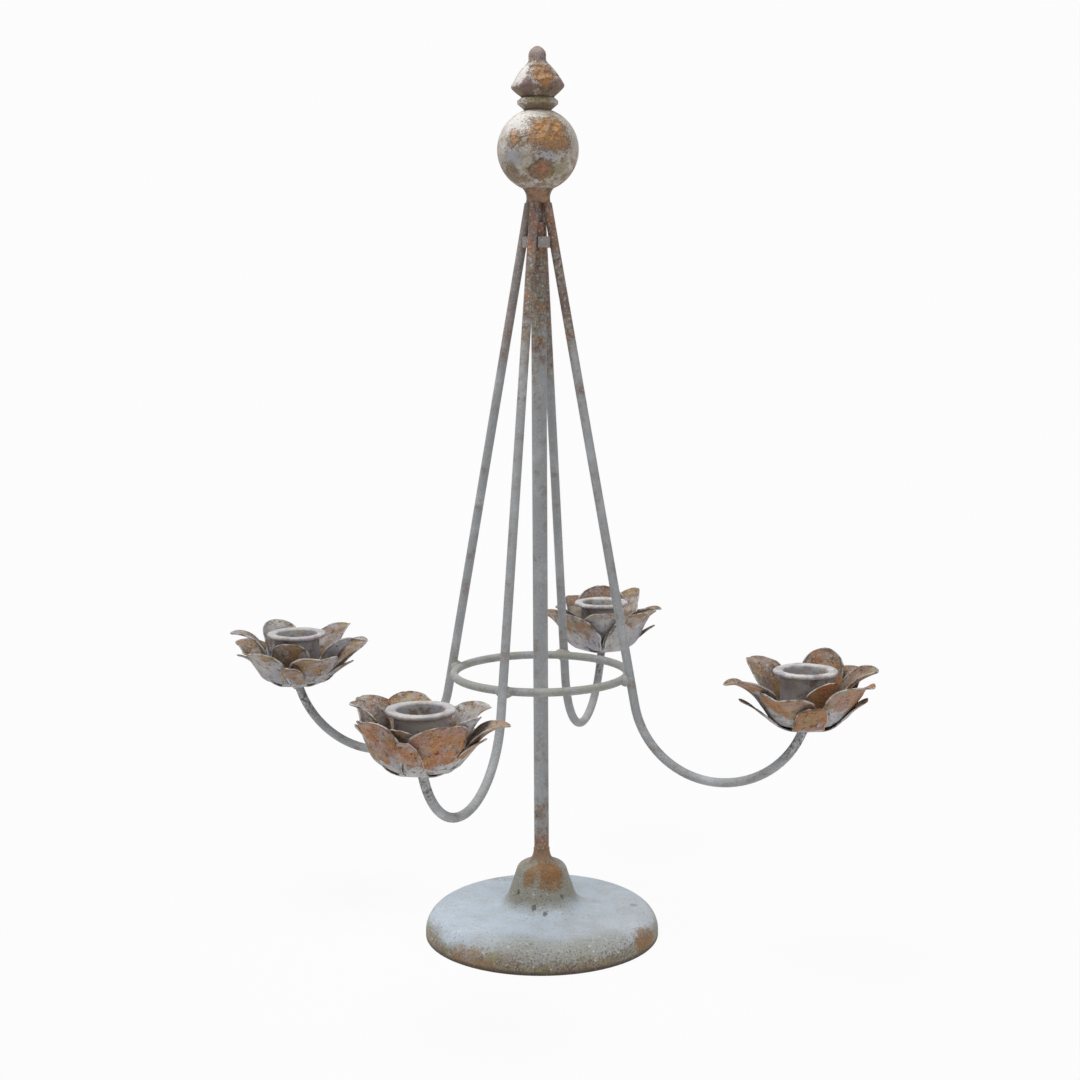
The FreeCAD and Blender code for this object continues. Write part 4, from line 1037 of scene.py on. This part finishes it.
class HOLDER_OT_rods(bpy.types.Operator):
    """Paint the pole, the arms and the hoop, and model the hoop's welds"""

    bl_idname = "holder.rods"
    bl_label = "Rods"

    def execute(self, context):
        paint_nodes(rod_finish("pole_paint", 1.0), "pole", "arm_front", "arm_back", "arm_right")
        paint_nodes(rod_finish("rod_paint", 0.55), "flower_welds", "tie_collar", "arm_left")
        stained = rod_finish("hoop_paint", 0.0, 0.6)
        paint_nodes(stained, "hoop")
        make_hoop_welds(stained)
        return {"FINISHED"}


class HOLDER_OT_foot(bpy.types.Operator):
    """Paint the foot and its weld"""

    bl_idname = "holder.foot"
    bl_label = "Foot"

    def execute(self, context):
        paint_nodes(foot_finish("foot_paint"), "base_dish", "pole_weld")
        return {"FINISHED"}


class HOLDER_OT_fasteners(bpy.types.Operator):
    """Finish nut, washer and rivets"""

    bl_idname = "holder.fasteners"
    bl_label = "Fasteners"

    def execute(self, context):
        paint_nodes(steel_finish("bare_steel"), "base_nut", "base_washer", "cup_rivets")
        return {"FINISHED"}


class HOLDER_OT_finial(bpy.types.Operator):
    """Paint neck, ball and collar, and model the tip"""

    bl_idname = "holder.finial"
    bl_label = "Finial"

    def execute(self, context):
        chalk = settings().colours.chalk
        paint_nodes(finial_finish("ball_paint", BALL_PATCHES, chalk, 0.15), "finial_ball")
        paint_nodes(finial_finish("neck_paint", NECK_PATCHES, chalk, 0.35), "neck_collar")
        rusty = finial_finish("finial_paint", TIP_PATCHES, chalk, 0.45)
        paint_nodes(rusty, "finial_collar")
        make_tip(rusty)
        return {"FINISHED"}


class HOLDER_OT_leaves(bpy.types.Operator):
    """Model the lower leaves of all flowers"""

    bl_idname = "holder.leaves"
    bl_label = "Lower leaves"

    def execute(self, context):
        for arm in ARMS:
            make_rosette(arm, "leaf", "lower_leaves")
        return {"FINISHED"}


class HOLDER_OT_outer_petals(bpy.types.Operator):
    """Model the outer petals of all flowers"""

    bl_idname = "holder.outer_petals"
    bl_label = "Outer petals"

    def execute(self, context):
        for arm in ARMS:
            make_rosette(arm, "outer", "outer_petals")
        return {"FINISHED"}


class HOLDER_OT_inner_petals(bpy.types.Operator):
    """Model the inner petals of all flowers"""

    bl_idname = "holder.inner_petals"
    bl_label = "Inner petals"

    def execute(self, context):
        for arm in ARMS:
            make_rosette(arm, "inner", "inner_petals")
        return {"FINISHED"}


class HOLDER_OT_cups(bpy.types.Operator):
    """Model the candle cups"""

    bl_idname = "holder.cups"
    bl_label = "Candle cups"

    def execute(self, context):
        for arm in ARMS:
            make_cup(arm)
        return {"FINISHED"}


class HOLDER_OT_studio(bpy.types.Operator):
    """Set up floor, lamps, world and camera"""

    bl_idname = "holder.studio"
    bl_label = "Studio"

    def execute(self, context):
        studio = settings().studio
        make_floor()
        make_world()
        add_lamp("key_lamp", KEY_PLACE, studio.key, KEY_SIZE)
        add_lamp("fill_lamp", FILL_PLACE, studio.fill, FILL_SIZE)
        make_camera()
        context.scene.view_settings.view_transform = "Standard"
        return {"FINISHED"}


class HOLDER_PT_panel(bpy.types.Panel):
    """Lists the steps that dress the candle holder"""

    bl_label = "Candle holder"
    bl_space_type = "VIEW_3D"
    bl_region_type = "UI"
    bl_category = "Candle holder"

    def draw(self, context):
        for step in STEPS:
            self.layout.operator(step.bl_idname)


STEPS = (HOLDER_OT_rods, HOLDER_OT_foot, HOLDER_OT_fasteners, HOLDER_OT_finial, HOLDER_OT_leaves,
         HOLDER_OT_outer_petals, HOLDER_OT_inner_petals, HOLDER_OT_cups, HOLDER_OT_studio)
CLASSES = (HolderColours, LeafSizes, OuterSizes, InnerSizes, FlowerSizes, FinialSizes, WeldSizes,
           StudioSettings, HolderSettings, *STEPS, HOLDER_PT_panel)


def register():
    for each in CLASSES:
        bpy.utils.register_class(each)
    bpy.types.Scene.candle_holder = PointerProperty(type=HolderSettings)


def unregister():
    del bpy.types.Scene.candle_holder
    for each in reversed(CLASSES):
        bpy.utils.unregister_class(each)


def main():
    register()
    for step in STEPS:
        group, name = step.bl_idname.split(".")
        getattr(getattr(bpy.ops, group), name)()


if __name__ == "__main__":
    main()
